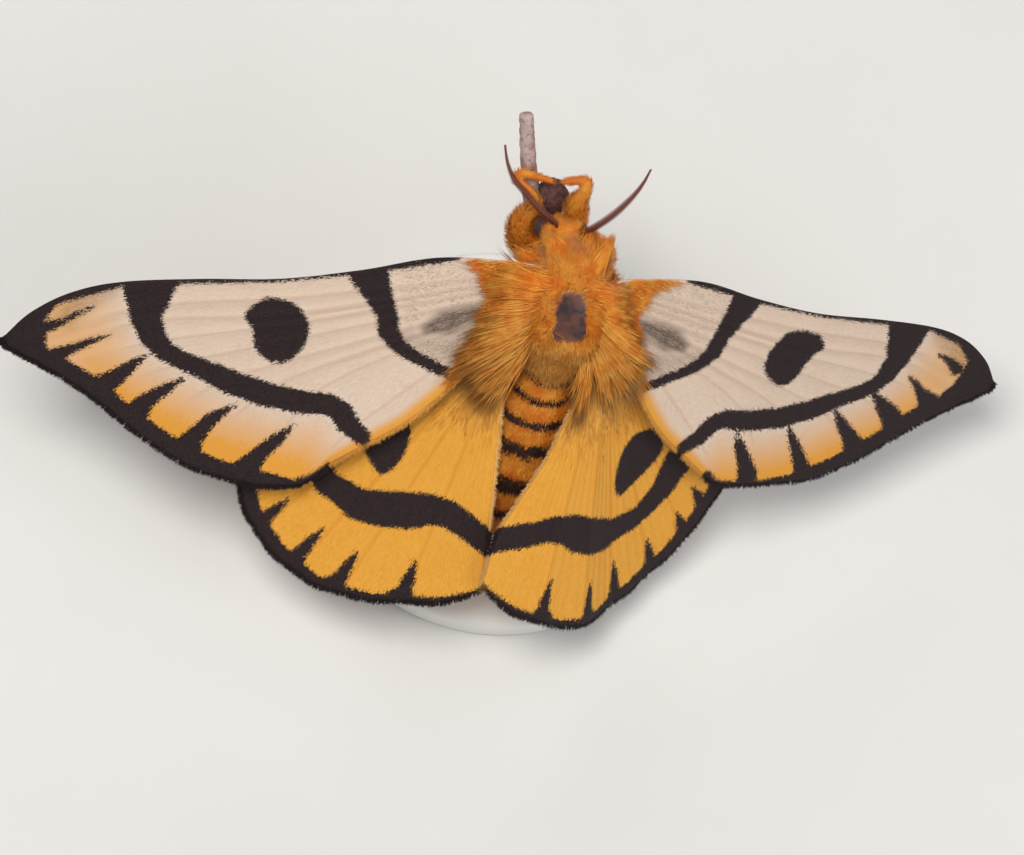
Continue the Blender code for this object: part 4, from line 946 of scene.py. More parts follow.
thorax_path = smooth_path(THORAX_PATH, 40)
thorax_shares = np.linspace(0, 1, 40)
station = np.concatenate([[0], np.cumsum(np.linalg.norm(np.diff(THORAX_PATH, axis=0), axis=1))])
thorax_wide = np.interp(thorax_shares * station[-1], station, THORAX_WIDTHS)
thorax_high = np.interp(thorax_shares * station[-1], station, THORAX_HEIGHTS)
abdomen_path = smooth_path(ABDOMEN_AXIS, ABDOMEN_STEPS)
abdomen_shares = np.linspace(0, 1, ABDOMEN_STEPS)
abdomen_bulge = 0.06 * (np.sin(math.pi * ((abdomen_shares * ABDOMEN_SEGMENTS) % 1.0)) - 1)
abdomen_radii = np.maximum(along(ABDOMEN_RADII, abdomen_shares) + abdomen_bulge, 0.35)
leg_paths = {}
shapes = [
    tube(thorax_path, thorax_wide * SKIN_SHARE, thorax_high * SKIN_SHARE, 48),
    tube(abdomen_path, abdomen_radii * ABDOMEN_SHARE, abdomen_radii * ABDOMEN_SHARE, 48),
    tube(np.vstack([thorax_path[-8:], abdomen_path[:12]])[::4], [1.6] * 5, [1.5] * 5, 32),
    ball(HEAD_CENTRE, HEAD_RADII, 24, 36),
    tube(smooth_path((HEAD_CENTRE, (-0.7, 2.4, -0.4), (-0.5, 1.5, -0.1)), 12), [0.85] * 12, [0.8] * 12, 32),
]
for name, (joints, turns) in LEGS.items():
    path = smooth_path([np.array(p) for p in joints] + [round_twig(*spot) for spot in turns], LEG_STEPS)
    radii = along(FORELEG_RADII.get(name, LEG_RADII), np.linspace(0, 1, LEG_STEPS))
    radii = radii * np.linspace(0.7, 1.05, LEG_STEPS)
    leg_paths[name] = (path, radii)
    shapes.append(tube(path, radii, radii, 18))
    body_point = path[0] + (np.array((path[0][0] * 0.5, path[0][1], -1.5)) - path[0])
    into_body = smooth_path((path[0], (path[0] + body_point) / 2, body_point), 8)
    shapes.append(tube(into_body, [0.55] * 8, [0.55] * 8, 18))
skin_base = bpy.data.materials.new("unset")
rough_skin = build_mesh("rough_skin", *joined(shapes), skin_base)
remesh = rough_skin.modifiers.new("one_skin", "REMESH")
remesh.mode = "VOXEL"
remesh.voxel_size = SKIN_VOXEL
relax = rough_skin.modifiers.new("relax", "SMOOTH")
relax.factor = 0.6
relax.iterations = 4
graph = bpy.context.evaluated_depsgraph_get()
whole = bpy.data.meshes.new_from_object(rough_skin.evaluated_get(graph))
whole.calc_loop_triangles()
skin_points = np.empty(len(whole.vertices) * 3, np.float32)
whole.vertices.foreach_get("co", skin_points)
skin_points = skin_points.reshape(-1, 3).astype(float)
skin_faces = np.empty(len(whole.loop_triangles) * 3, np.int32)
whole.loop_triangles.foreach_get("vertices", skin_faces)
skin_faces = skin_faces.reshape(-1, 3)
bpy.data.objects.remove(rough_skin, do_unlink=True)


def part_of(points):
    """Which part of the body each point belongs to, and how far along that part it lies."""
    best = np.full(len(points), 1e9)
    part = np.zeros(len(points), int)
    share = np.zeros(len(points))
    head_run = (np.array([HEAD_CENTRE]), np.array([1.2]))
    runs = [(thorax_path, thorax_wide), (abdomen_path, abdomen_radii), head_run]
    runs += [leg_paths[name] for name in LEGS]
    for k, (path, radii) in enumerate(runs):
        for j in range(0, len(path), 2):
            away = np.linalg.norm(points - path[j], axis=1) / radii[j]
            nearer = away < best
            best[nearer] = away[nearer]
            part[nearer] = k
            share[nearer] = j / max(len(path) - 1, 1)
    return part, share


def body_marks(points, part, share):
    """The black, brownish gold, rubbed and bare shares of the coat and skin at each point."""
    marks = np.zeros((len(points), 4))
    wave = 0.012 * ripple(points, 1.1, 11)
    on_abdomen = part == 1
    for middle, half in ABDOMEN_RINGS:
        ring = step_between(half + 0.012, half - 0.012, np.abs(share + wave - middle))
        marks[on_abdomen, 0] = np.maximum(marks[on_abdomen, 0], ring[on_abdomen])
    stretch = BARE_REAR - BARE_FRONT
    t = (points[:, :2] - BARE_FRONT) @ stretch / (stretch @ stretch)
    beside = np.abs((points[:, 0] - BARE_FRONT[0]) * stretch[1] - (points[:, 1] - BARE_FRONT[1]) * stretch[0])
    half = BARE_HALVES[0] + (BARE_HALVES[1] - BARE_HALVES[0]) * np.clip(t, 0, 1)
    beside = beside / np.linalg.norm(stretch) - half
    ends = np.maximum(-t, t - 1) * np.linalg.norm(stretch)
    edge = np.hypot(np.maximum(beside + 0.6, 0), np.maximum(ends + 0.6, 0)) - 0.6
    edge += 0.16 * ripple(points, 0.9, 12) + 0.16 * ripple(points, 0.35, 15)
    marks[:, 3] = step_between(0.35, -0.3, edge) * (part == 0) * (points[:, 2] > 0)
    on_thorax = part == 0
    uneven_rear = points[on_thorax, 1] + 0.5 * ripple(points[on_thorax], 1.5, 13)
    marks[on_thorax, 1] = step_between(-2.4, -4.2, uneven_rear)
    for x, y, reach in RUBBED_SPOTS:
        near = np.linalg.norm(points[:, :2] - np.array((x, y)), axis=1) + 0.25 * ripple(points, 0.9, 14)
        marks[:, 2] = np.maximum(marks[:, 2], step_between(reach, 0.2, near) * (points[:, 2] > 0.3))
    return marks


skin_part, skin_share = part_of(skin_points)
skin_marks = body_marks(skin_points, skin_part, skin_share)


def coat_colour(tree, marks):
    """The coat's colour from its marks: orange, brownish gold behind, dull brown where rubbed, and black."""
    split = add_node(tree, "ShaderNodeSeparateColor", {0: marks.outputs["Color"]})
    place = object_place(tree)
    uneven = noise_of(tree, place, 900.0, 3.0)
    colour = mix_of(tree, range_of(tree, uneven, 0.35, 0.65), tint(228, 122, 24), tint(242, 160, 54))
    brown = mix_of(tree, range_of(tree, uneven, 0.35, 0.65), tint(216, 136, 44), tint(232, 164, 72))
    colour = mix_of(tree, split.outputs["Green"], colour, brown)
    colour = mix_of(tree, math_of(tree, "MULTIPLY", split.outputs["Blue"], 0.6), colour, tint(176, 120, 92))
    return mix_of(tree, split.outputs["Red"], colour, tint(40, 25, 22)), uneven


skin_finish, tree, shader = new_material("skin_under_coat", 0.6)
marks = kept_on(tree, "coat_marks")
colour, uneven = coat_colour(tree, marks)
colour = mix_of(tree, 0.2, colour, tint(120, 60, 20))
bare_shell = mix_of(tree, range_of(tree, uneven, 0.35, 0.65), tint(50, 38, 40), tint(100, 62, 50))
colour = mix_of(tree, marks.outputs["Alpha"], colour, bare_shell)
tree.links.new(colour, shader.inputs["Base Color"])
tree.links.new(range_of(tree, marks.outputs["Alpha"], 0.0, 1.0, 0.7, 0.38), shader.inputs["Roughness"])
bump_to(tree, shader, noise_of(tree, object_place(tree), 4000.0, 4.0), 0.00004, 0.6)
skin = build_mesh("skin", skin_points, skin_faces, skin_finish, MOTH)
keep_on(skin, "coat_marks", skin_marks)
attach(skin, "root")
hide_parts("thorax", "head", "abdomen", *[f"leg_{name}" for name in LEGS])


# Eyes: dark satin compound eyes, each a ball of fine facets set into the side of the head.
EYE_RADIUS = 0.7
EYE_CENTRES = {"left": np.array((-2.45, 3.05, -1.1)), "right": np.array((-0.1, 3.0, -1.4))}
eye_shell, tree, shader = new_material("eye_shell", 0.5, Specular_IOR_Level=0.22)
place = object_place(tree)
facets = add_node(tree, "ShaderNodeTexVoronoi", {"Vector": place, "Scale": 11000.0})
eye_colour = mix_of(tree, facets.outputs["Distance"], tint(48, 31, 24), tint(88, 60, 46))
tree.links.new(eye_colour, shader.inputs["Base Color"])
bump_to(tree, shader, facets.outputs["Distance"], 0.00002, 0.5)
for side, centre in EYE_CENTRES.items():
    points, faces = ball(centre, [EYE_RADIUS] * 3, 40, 56)
    eye = build_mesh(f"eye_{side}_faceted", points, faces, eye_shell, MOTH)
    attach(eye, "root")
    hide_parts(f"eye_{side}")


# Feelers: dark reddish brown threads of short joints, each joint with a pair of short teeth.
FEELERS = {
    "left": (
        (-1.2, 2.8, -0.7), (-1.65, 3.55, 0.0), (-2.0, 4.02, 0.38), (-2.8, 4.62, 0.72),
        (-4.1, 5.6, 0.3), (-5.03, 6.3, -0.3), (-5.6, 7.2, -0.8), (-5.95, 8.3, -1.2),
    ),
    "right": (
        (-0.4, 2.7, -0.8), (0.2, 3.45, 0.05), (0.45, 3.8, 0.35), (1.0, 4.4, 0.6),
        (1.9, 5.3, 0.5), (2.85, 6.5, 0.2), (3.4, 7.5, 0.0), (3.75, 8.4, -0.3),
    ),
}
FEELER_JOINTS = 58
feeler_shell, tree, shader = new_material("feeler_shell", 0.45)
place = object_place(tree)
uneven = noise_of(tree, place, 2500.0, 3.0)
tree.links.new(mix_of(tree, uneven, tint(76, 24, 10), tint(112, 40, 18)), shader.inputs["Base Color"])
bump_to(tree, shader, uneven, 0.00002, 0.5)
for side, through in FEELERS.items():
    rings = FEELER_JOINTS * 6
    path = smooth_path(through, rings)
    share = np.linspace(0, 1, rings)
    joint = np.abs(np.sin(math.pi * share * FEELER_JOINTS))
    radii = (0.12 + 0.025 * joint) * (1 - 0.5 * share)
    radii[-1] = 0.02
    shapes = [tube(path, radii, radii, 12)]
    forward, across_it, top = ring_axes(path)
    for k in range(10, FEELER_JOINTS - 1):
        at = k * 6 + 3
        for way in (-1, 1):
            long = 0.22 * math.sin(math.pi * min(1.0, 0.15 + 0.9 * k / FEELER_JOINTS)) + 0.06
            tip = path[at] + across_it[at] * (way * long) + forward[at] * (0.5 * long) - top[at] * 0.08
            tooth = smooth_path((path[at], (path[at] + tip) / 2 + forward[at] * 0.02, tip), 5)
            wide, thick = np.linspace(0.075, 0.035, 5), np.linspace(0.06, 0.03, 5)
            shapes.append(tube(tooth, wide, thick, 5, up=top[at]))
    feeler = build_mesh(f"feeler_{side}", *joined(shapes), feeler_shell, MOTH)
    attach(feeler, "root")
    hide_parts(f"antenna_{side}")


# Coat: fine hairs and hair scales in orange, rooted in the skin and lying back along the body. They stand
# longest on the thorax, whose rear tufts drape over the wings. Each hair is a thin blade with a tapered tip.
coat_finish, tree, shader = new_material("coat_hair", 0.55, Specular_IOR_Level=0.3)
marks = kept_on(tree, "coat_marks")
colour, uneven = coat_colour(tree, marks)
strand = kept_on(tree, "strand")
strand_split = add_node(tree, "ShaderNodeSeparateColor", {0: strand.outputs["Color"]})
to_tip, lot, dusk = (strand_split.outputs[name] for name in ("Red", "Green", "Blue"))
# Painted light and shade: each hair takes at random a lit or a shaded copy of the coat colour.
lit = mix_of(tree, 1.0, colour, (1.1, 1.12, 1.16, 1), "MULTIPLY")
shaded = mix_of(tree, 1.0, colour, (0.92, 0.9, 0.86, 1), "MULTIPLY")
colour = mix_of(tree, lot, shaded, lit)
dusky = math_of(tree, "MULTIPLY", dusk, math_of(tree, "POWER", to_tip, 2.5))
colour = mix_of(tree, dusky, colour, tint(120, 86, 54))
tree.links.new(colour, shader.inputs["Base Color"])
outward = kept_on(tree, "outward").outputs["Vector"]
outward = add_node(tree, "ShaderNodeVectorMath", {0: outward, "Scale": 1.3}, operation="SCALE").outputs[0]
own = add_node(tree, "ShaderNodeNewGeometry").outputs["Normal"]
together = add_node(tree, "ShaderNodeVectorMath", {0: outward, 1: own}, operation="ADD").outputs[0]
plush = add_node(tree, "ShaderNodeVectorMath", {0: together}, operation="NORMALIZE").outputs[0]
tree.links.new(plush, shader.inputs["Normal"])

RING_TURNS = np.array([0.0, 2.3, -2.3])


def blade_faces(rings):
    """The triangles of one hair of three-sided rings that ends in a point."""
    faces = [(0, 2, 1)]
    for ring in range(rings):
        for k in range(3):
            a, b = ring * 3 + k, ring * 3 + (k + 1) % 3
            if ring == rings - 1:
                faces.append((a, b, rings * 3))
            else:
                faces += [(a, b, b + 3), (a, b + 3, a + 3)]
    return np.array(faces)


wing_trees = []
for points, faces in wing_solids.values():
    wing_trees.append(BVHTree.FromPolygons([Vector(p) for p in points], faces.tolist()))


def over_wings(spines, clearance):
    """Lifts points of the spines that would sink into a wing to just above it."""
    for number in range(len(spines)):
        for k in range(1, spines.shape[1]):
            x, y, z = spines[number, k]
            for tree_of_wing in wing_trees:
                hit = tree_of_wing.ray_cast(Vector((x, y, 9.0)), Vector((0, 0, -1)))[0]
                if hit:
                    spines[number, k, 2] = max(spines[number, k, 2], hit.z + clearance * (0.5 + 0.5 * k))
    return spines


def hair_piece(
    name, spines, outwards, widths, marks, dusk, unwrap, seed, finish=coat_finish, rings=(0, 1, 2)
):
    """Many hairs as one closed mesh, each a flat tapering blade along its spine of four points."""
    draw = np.random.default_rng(seed)
    count = len(spines)
    forward = unit(np.gradient(spines, axis=1))
    side = unit(np.cross(forward, outwards[:, None]))
    top = np.cross(side, forward)
    wide = widths[:, None] * np.array((0.8, 1.0, 0.72))
    spots = []
    for ring in rings:
        for angle in RING_TURNS:
            spots.append(
                spines[:, ring]
                + side[:, ring] * (wide[:, ring] * 0.5 * math.sin(angle) * 1.34)[:, None]
                + top[:, ring] * (wide[:, ring] * 0.22 * math.cos(angle))[:, None]
            )
    spots.append(spines[:, 3])
    points = np.stack(spots, axis=1)
    size = points.shape[1]
    faces = (blade_faces(len(rings))[None] + (np.arange(count) * size)[:, None, None]).reshape(-1, 3)
    piece = build_mesh(name, points.reshape(-1, 3), faces, finish, MOTH)
    keep_on(piece, "coat_marks", np.repeat(marks, size, axis=0))
    keep_on(piece, "outward", np.repeat(outwards @ np.array(MOTH.to_3x3()).T, size, axis=0))
    strand = np.zeros((count, size, 4), np.float32)
    to_tip = np.append(np.repeat([0.35 * ring for ring in rings], 3), 1.0)
    strand[..., 0] = to_tip
    strand[..., 1] = draw.uniform(0, 1, count)[:, None]
    strand[..., 2] = dusk[:, None]
    keep_on(piece, "strand", strand)
    patch = np.stack([np.array([0.0, 1.0, 2.0] * len(rings) + [1.0]) / 2 - 0.5, to_tip - 0.5], axis=1) * 0.003
    uv = (unwrap[:, None] + patch[None]).reshape(-1, 2)
    layer = piece.data.uv_layers.new(name="OFBake")
    layer.data.foreach_set("uv", uv[faces.ravel()].astype(np.float32).ravel())
    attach(piece, "root")
    return piece


corner = skin_points[skin_faces]
areas = np.linalg.norm(np.cross(corner[:, 1] - corner[:, 0], corner[:, 2] - corner[:, 0]), axis=1) / 2
face_normals = unit(np.cross(corner[:, 1] - corner[:, 0], corner[:, 2] - corner[:, 0]))
face_part, face_share = part_of(corner.mean(axis=1))


def roots_on(choice, count, seed):
    """Random places on the chosen skin, with the outward direction, part and share of each."""
    draw = np.random.default_rng(seed)
    chosen = np.flatnonzero(choice)
    picks = draw.choice(chosen, count, p=areas[chosen] / areas[chosen].sum())
    a, b = draw.uniform(size=(2, count))
    flip = a + b > 1
    a[flip], b[flip] = 1 - a[flip], 1 - b[flip]
    first = corner[picks]
    places = first[:, 0] + a[:, None] * (first[:, 1] - first[:, 0]) + b[:, None] * (first[:, 2] - first[:, 0])
    return places, face_normals[picks], face_part[picks], face_share[picks]


def within_sheet(shares):
    """Shares from 0 to 1 as places on the unwrap, kept a little inside its edges."""
    return 0.03 + 0.94 * shares


def around_body(places, path, share):
    """A place on the unwrap of a limb or the body: how far along it, and how far round it."""
    low = np.clip((share * (len(path) - 1)).astype(int), 0, len(path) - 2)
    _, side, top = ring_axes(path)
    away = places - path[low]
    angle = np.arctan2(np.sum(away * top[low], axis=1), np.sum(away * side[low], axis=1))
    forward = unit(path[low + 1] - path[low])
    path_length = np.sum(np.linalg.norm(np.diff(path, axis=0), axis=1))
    fine_share = share + np.sum(away * forward, axis=1) / path_length
    return within_sheet(np.stack([angle / (2 * math.pi) + 0.5, np.clip(fine_share, 0, 1)], axis=1))


ROOT_DEPTH = 0.12


def lay_hairs(places, outwards, lie, lengths, rise):
    """Spines that leave the skin, bend over and follow the lie."""
    lie = lie - outwards * np.sum(lie * outwards, axis=1, keepdims=True) * 0.85
    lie = unit(lie)
    length = lengths[:, None]
    up = rise[:, None]
    first = places - outwards * ROOT_DEPTH
    second = places + outwards * up * 0.7 + lie * length * 0.3
    third = places + outwards * up + lie * length * 0.66
    last = places + outwards * up * 0.85 + lie * length
    return np.stack([first, second, third, last], axis=1)


# Each guide of the coat has its place, the way its hairs lie, their length and their rise off the skin.
GROOM = (
    ((-0.5, 1.9, 1.0), (0.0, 1.0, 0.2), 1.0, 0.3), ((-2.0, 1.2, 0.8), (-1.0, 0.8, 0.1), 1.3, 0.4),
    ((1.4, 1.2, 0.9), (0.2, 1.0, 0.1), 0.8, 0.25), ((-0.3, 0.9, 2.2), (0.0, 1.0, 0.2), 0.8, 0.3),
    ((-1.5, 0.2, 2.2), (-0.8, 0.5, 0.1), 0.9, 0.35), ((1.2, 0.2, 2.2), (0.8, 0.5, 0.1), 0.9, 0.35),
    ((-1.5, -1.6, 2.3), (-0.9, -0.3, 0.1), 0.9, 0.35), ((1.6, -1.6, 2.3), (0.9, -0.3, 0.1), 0.9, 0.35),
    ((-1.4, -3.0, 2.2), (-0.7, -0.8, 0.1), 1.2, 0.35), ((1.7, -3.0, 2.2), (0.7, -0.8, 0.1), 1.2, 0.35),
    ((-2.5, -0.4, 1.2), (-1.0, -0.1, 0.1), 1.4, 0.4), ((2.3, -0.4, 1.2), (1.0, -0.1, 0.1), 1.4, 0.4),
    ((-2.3, -2.8, 1.3), (-0.8, -0.8, 0.1), 1.7, 0.4), ((2.1, -2.8, 1.3), (0.8, -0.8, 0.1), 1.7, 0.4),
    ((0.1, -3.9, 2.0), (0.0, -1.0, 0.1), 0.9, 0.35), ((-0.1, -5.0, 1.4), (0.0, -1.0, -0.1), 0.65, 0.2),
    ((-1.6, -4.8, 0.8), (-0.5, -1.0, 0.0), 1.2, 0.35), ((1.4, -4.8, 0.8), (0.5, -1.0, 0.0), 1.2, 0.35),
    ((0.0, 0.0, -2.6), (0.0, -0.6, -0.5), 1.2, 0.4), ((0.0, -4.0, -2.4), (0.0, -1.0, -0.1), 1.3, 0.4),
    ((-0.9, 3.1, 0.2), (0.0, 1.0, 0.1), 0.6, 0.2), ((-0.9, 3.7, -0.6), (0.0, 0.5, -0.9), 0.5, 0.16),
    ((-2.1, 2.7, -0.4), (-0.5, 0.9, 0.2), 0.8, 0.2), ((0.2, 2.7, -0.4), (0.5, 0.9, 0.2), 0.8, 0.25),
    ((-0.9, 3.2, -1.7), (0.0, 0.5, -0.7), 0.6, 0.2),
)
guide_places = np.array([g[0] for g in GROOM])
guide_lies = unit(np.array([g[1] for g in GROOM], float))
guide_lengths = np.array([g[2] for g in GROOM])
guide_rises = np.array([g[3] for g in GROOM])


def groomed(places):
    """The lie, length and rise of the coat at each place, between the guides."""
    away = np.linalg.norm(places[:, None] - guide_places[None], axis=2)
    weights = 1 / (away**3 + 0.05)
    weights /= weights.sum(axis=1, keepdims=True)
    return unit(weights @ guide_lies), weights @ guide_lengths, weights @ guide_rises


def tousle(places, lie, seed, clump=0.28, stray=0.16):
    """Turns the lie a little: together in small clumps, and each hair by itself."""
    draw = np.random.default_rng(seed)
    together = np.stack([ripple(places, 0.8, seed + k) for k in range(3)], axis=1)
    return unit(lie + clump * together + stray * draw.normal(size=places.shape))


top_side = corner.mean(axis=1)[:, 2]
is_thorax, is_abdomen, is_head, is_leg = face_part == 0, face_part == 1, face_part == 2, face_part >= 3
TOP_PIECES = 3
TOP_HAIRS = 17500
UNDER_HAIRS = 9500
HEAD_HAIRS = 9000
ABDOMEN_PIECES = 2
ABDOMEN_HAIRS = 9000
LEG_HAIRS = 11000
thorax_regions = [(is_thorax & (top_side > 0.2), TOP_HAIRS)] * TOP_PIECES
thorax_regions.append((is_thorax & (top_side <= 0.2), UNDER_HAIRS))
for number, (region, count) in enumerate(thorax_regions):
    seed = 100 + 10 * number
    places, outwards, part, share = roots_on(region, count, seed)
    marks = body_marks(places, part, share)
    draw = np.random.default_rng(seed + 1)
    keep = draw.uniform(size=count) > marks[:, 3] * 1.1
    places, outwards, share, marks = places[keep], outwards[keep], share[keep], marks[keep]
    lie, lengths, rises = groomed(places)
    lie = tousle(places, lie, seed, 0.42, 0.3)
    lengths = lengths * draw.uniform(0.5, 1.1, len(places))
    rises = rises * draw.uniform(0.5, 1.2, len(places))
    spines = lay_hairs(places, outwards, lie, lengths, rises)
    if number < TOP_PIECES:
        spines = over_wings(spines, 0.05)
    dusk = 0.3 * marks[:, 1]
    widths = draw.uniform(0.038, 0.062, len(places))
    unwrap = around_body(places, thorax_path, share)
    name = f"thorax_coat_{number}"
    hair_piece(name, spines, outwards, widths, marks, dusk, unwrap, seed, rings=(0, 2))

seed = 200
places, outwards, part, share = roots_on(is_head, HEAD_HAIRS, seed)
from_eye = np.min([np.linalg.norm(places - centre, axis=1) for centre in EYE_CENTRES.values()], axis=0)
keep = from_eye > EYE_RADIUS + 0.02
places, outwards, part, share = places[keep], outwards[keep], part[keep], share[keep]
draw = np.random.default_rng(seed + 1)
lie, lengths, rises = groomed(places)
lie = tousle(places, lie, seed)
spines = lay_hairs(places, outwards, lie, lengths * draw.uniform(0.6, 1.15, len(places)), rises)
away = places - HEAD_CENTRE
turns = np.arctan2(away[:, 2], away[:, 0]) / (2 * math.pi) + 0.5
unwrap = within_sheet(np.stack([turns, np.clip((away[:, 1] + 1.2) / 2.4, 0, 1)], axis=1))
marks = body_marks(places, part, share)
widths = draw.uniform(0.045, 0.07, len(places))
hair_piece("head_coat", spines, outwards, widths, marks, 0 * turns, unwrap, seed, rings=(0, 2))

for number in range(ABDOMEN_PIECES):
    seed = 300 + 10 * number
    places, outwards, part, share = roots_on(is_abdomen, ABDOMEN_HAIRS, seed)
    draw = np.random.default_rng(seed + 1)
    forward = unit(np.gradient(abdomen_path, axis=0))
    last = len(forward) - 1
    lie = forward[np.clip((share * last).astype(int), 0, last)]
    lie = tousle(places, lie, seed, 0.16, 0.12)
    lengths = draw.uniform(0.3, 0.5, len(places)) * (1.0 + 0.9 * step_between(0.85, 1.0, share))
    spines = lay_hairs(places, outwards, lie, lengths, draw.uniform(0.08, 0.18, len(places)))
    marks = body_marks(places, part, share + 0.014)
    widths = draw.uniform(0.05, 0.08, len(places))
    unwrap = around_body(places, abdomen_path, share)
    hair_piece(
        f"abdomen_coat_{number}", spines, outwards, widths, marks, 0 * share, unwrap, seed,
        rings=(0, 2),
    )

seed = 400
places, outwards, part, share = roots_on(is_leg, LEG_HAIRS, seed)
draw = np.random.default_rng(seed + 1)
lie = np.zeros_like(places)
unwrap = np.zeros((len(places), 2))
thin = np.zeros(len(places))
for k, name in enumerate(LEGS):
    here = part == 3 + k
    path, radii = leg_paths[name]
    forward = unit(np.gradient(path, axis=0))
    last = len(forward) - 1
    lie[here] = forward[np.clip((share[here] * last).astype(int), 0, last)]
    spots = around_body(places[here], path, share[here])
    unwrap[here] = spots * np.array((1 / len(LEGS), 1)) + np.array((k / len(LEGS), 0))
    thin[here] = step_between(0.3, 0.6, share[here])
lie = tousle(places, lie, seed, 0.12, 0.14)
lengths = draw.uniform(0.5, 0.95, len(places)) * (1 - 0.5 * thin)
spines = lay_hairs(places, outwards, lie, lengths, draw.uniform(0.15, 0.4, len(places)) * (1 - 0.7 * thin))
marks = np.zeros((len(places), 4))
widths = draw.uniform(0.04, 0.07, len(places)) * (1 - 0.3 * thin)
hair_piece("leg_coat", spines, outwards, widths, marks, 0 * thin, unwrap, seed, rings=(0, 2))

# Tufts: long brownish gold hairs with dusky tips that sweep from the wing roots over the wings, and four
# loose orange tufts that stand forward at the collar, shoulder, nape and brow.
# Each long tuft has its root on the thorax and the place over the wing that it reaches.
LONG_TUFTS = (
    ((-1.8, 0.6, 2.2), (-5.0, 0.9)), ((-2.0, 0.3, 2.2), (-5.8, 0.0)), ((-2.5, -0.2, 2.0), (-5.6, -1.2)),
    ((-2.6, -0.9, 2.0), (-6.0, -3.0)), ((-2.7, -1.6, 1.9), (-6.5, -4.9)), ((-2.7, -2.2, 1.8), (-7.0, -6.4)),
    ((-2.7, -2.8, 1.6), (-6.9, -7.8)), ((-2.7, -3.3, 1.3), (-6.2, -9.0)), ((-2.7, -3.7, 1.0), (-5.2, -10.2)),
    ((-2.7, -4.0, 0.6), (-4.2, -10.6)), ((-2.7, -4.2, 0.3), (-4.0, -8.8)),
    ((1.6, 0.6, 2.2), (3.6, 0.6)), ((1.9, 0.2, 2.2), (3.9, -0.5)), ((2.4, -0.4, 2.0), (4.3, -1.9)),
    ((2.5, -1.2, 2.0), (5.5, -3.7)), ((2.6, -1.9, 1.9), (6.6, -5.4)), ((2.6, -2.6, 1.7), (6.2, -6.9)),
    ((2.6, -3.2, 1.4), (5.4, -8.2)), ((2.5, -3.7, 1.1), (4.4, -9.2)), ((2.3, -4.1, 0.8), (2.1, -10.4)),
    ((2.0, -4.5, 0.8), (1.7, -8.8)),
)
HAIRS_A_TUFT = 420
HAIRS_A_LOOSE_TUFT = 800
skin_tree = BVHTree.FromPolygons([Vector(p) for p in skin_points], skin_faces.tolist())
seed = 500
draw = np.random.default_rng(seed)
spines, roots, outs = [], [], []
for start, end in LONG_TUFTS:
    for _ in range(HAIRS_A_TUFT):
        near = Vector(np.array(start) + draw.normal(0, 0.32, 3))
        root, outward, _, _ = skin_tree.find_nearest(near)
        root, outward = np.array(root), np.array(outward)
        reach = draw.uniform(0.55, 1.08)
        finish = np.array(end) + draw.normal(0, 0.36, 2)
        finish = root[:2] + (finish - root[:2]) * reach
        run = [root - outward * ROOT_DEPTH]
        for share in (0.33, 0.68, 1.0):
            flat_place = root[:2] + (finish - root[:2]) * share
            height = root[2] + 0.4 * math.sin(math.pi * share) - 2.2 * (share * reach) ** 2
            run.append(np.array((*flat_place, height)))
        spines.append(run)
        roots.append(root)
        outs.append((0, 0, 1))
spines = over_wings(np.array(spines), 0.10)
spines[:, 1:, 2] += draw.uniform(0, 0.45, (len(spines), 1))
roots, outs = np.array(roots), np.array(outs, float)
part, share = part_of(roots)
marks = body_marks(roots, part, share)
marks[:, 0] = 0
marks[:, 1] = 0.75 * step_between(0.4, -3.0, roots[:, 1] + 0.3 * ripple(roots, 1.0, 21))
unwrap = around_body(roots, thorax_path, share)
widths = draw.uniform(0.04, 0.065, len(roots))
dusk = marks[:, 1] * step_between(0.35, 0.75, 0.5 + 0.5 * ripple(roots, 0.9, 22)) * 0.85
hair_piece("draped_tufts", spines, outs, widths, marks, dusk, unwrap, seed)

LOOSE_TUFTS = {
    "collar_tuft": ((1.3, 1.5, 1.5), (1.95, 4.0, 1.1), 0.3, 0.15),
    "shoulder_tuft": ((-2.3, 1.0, 0.6), (-4.2, 1.75, 0.3), 0.4, 0.3),
    "nape_tuft": ((-1.3, 2.0, 0.8), (-2.5, 3.3, 0.5), 0.4, 0.3),
    "brow_tuft": ((0.6, 1.9, 0.6), (0.6, 3.7, 0.0), 0.4, 0.3),
}
for number, (name, (start, end, spread, gathered)) in enumerate(LOOSE_TUFTS.items()):
    seed = 510 + number
    draw = np.random.default_rng(seed)
    count = HAIRS_A_LOOSE_TUFT
    starts = np.array(start) + draw.normal(0, spread, (count, 3))
    places = np.array([np.array(skin_tree.find_nearest(Vector(spot))[0]) for spot in starts])
    gather = np.array(end) + np.clip(draw.normal(0, gathered, (count, 3)), -1.6 * gathered, 1.6 * gathered)
    reach = draw.uniform(0.55, 1.0, count)[:, None]
    shares = (-0.05, 0.33, 0.68, 1.0)
    spines = np.stack([places + (gather - places) * reach * share for share in shares], axis=1)
    spines[:, 1:3, 2] += 0.22
    part, share = part_of(places)
    hair_piece(
        name, spines, np.tile((0, 0, 1.0), (count, 1)), draw.uniform(0.05, 0.08, count),
        np.zeros((count, 4)), np.zeros(count), around_body(places, thorax_path, share), seed,
    )

# Wing fringes and fluff: short scales that stand off the edge of each wing, black by the margins and golden
# by the inner edges. Orange hairs run on to the root of each forewing, with cream fluff inside its first
# black band, and silky hairs cover the root of each hindwing.


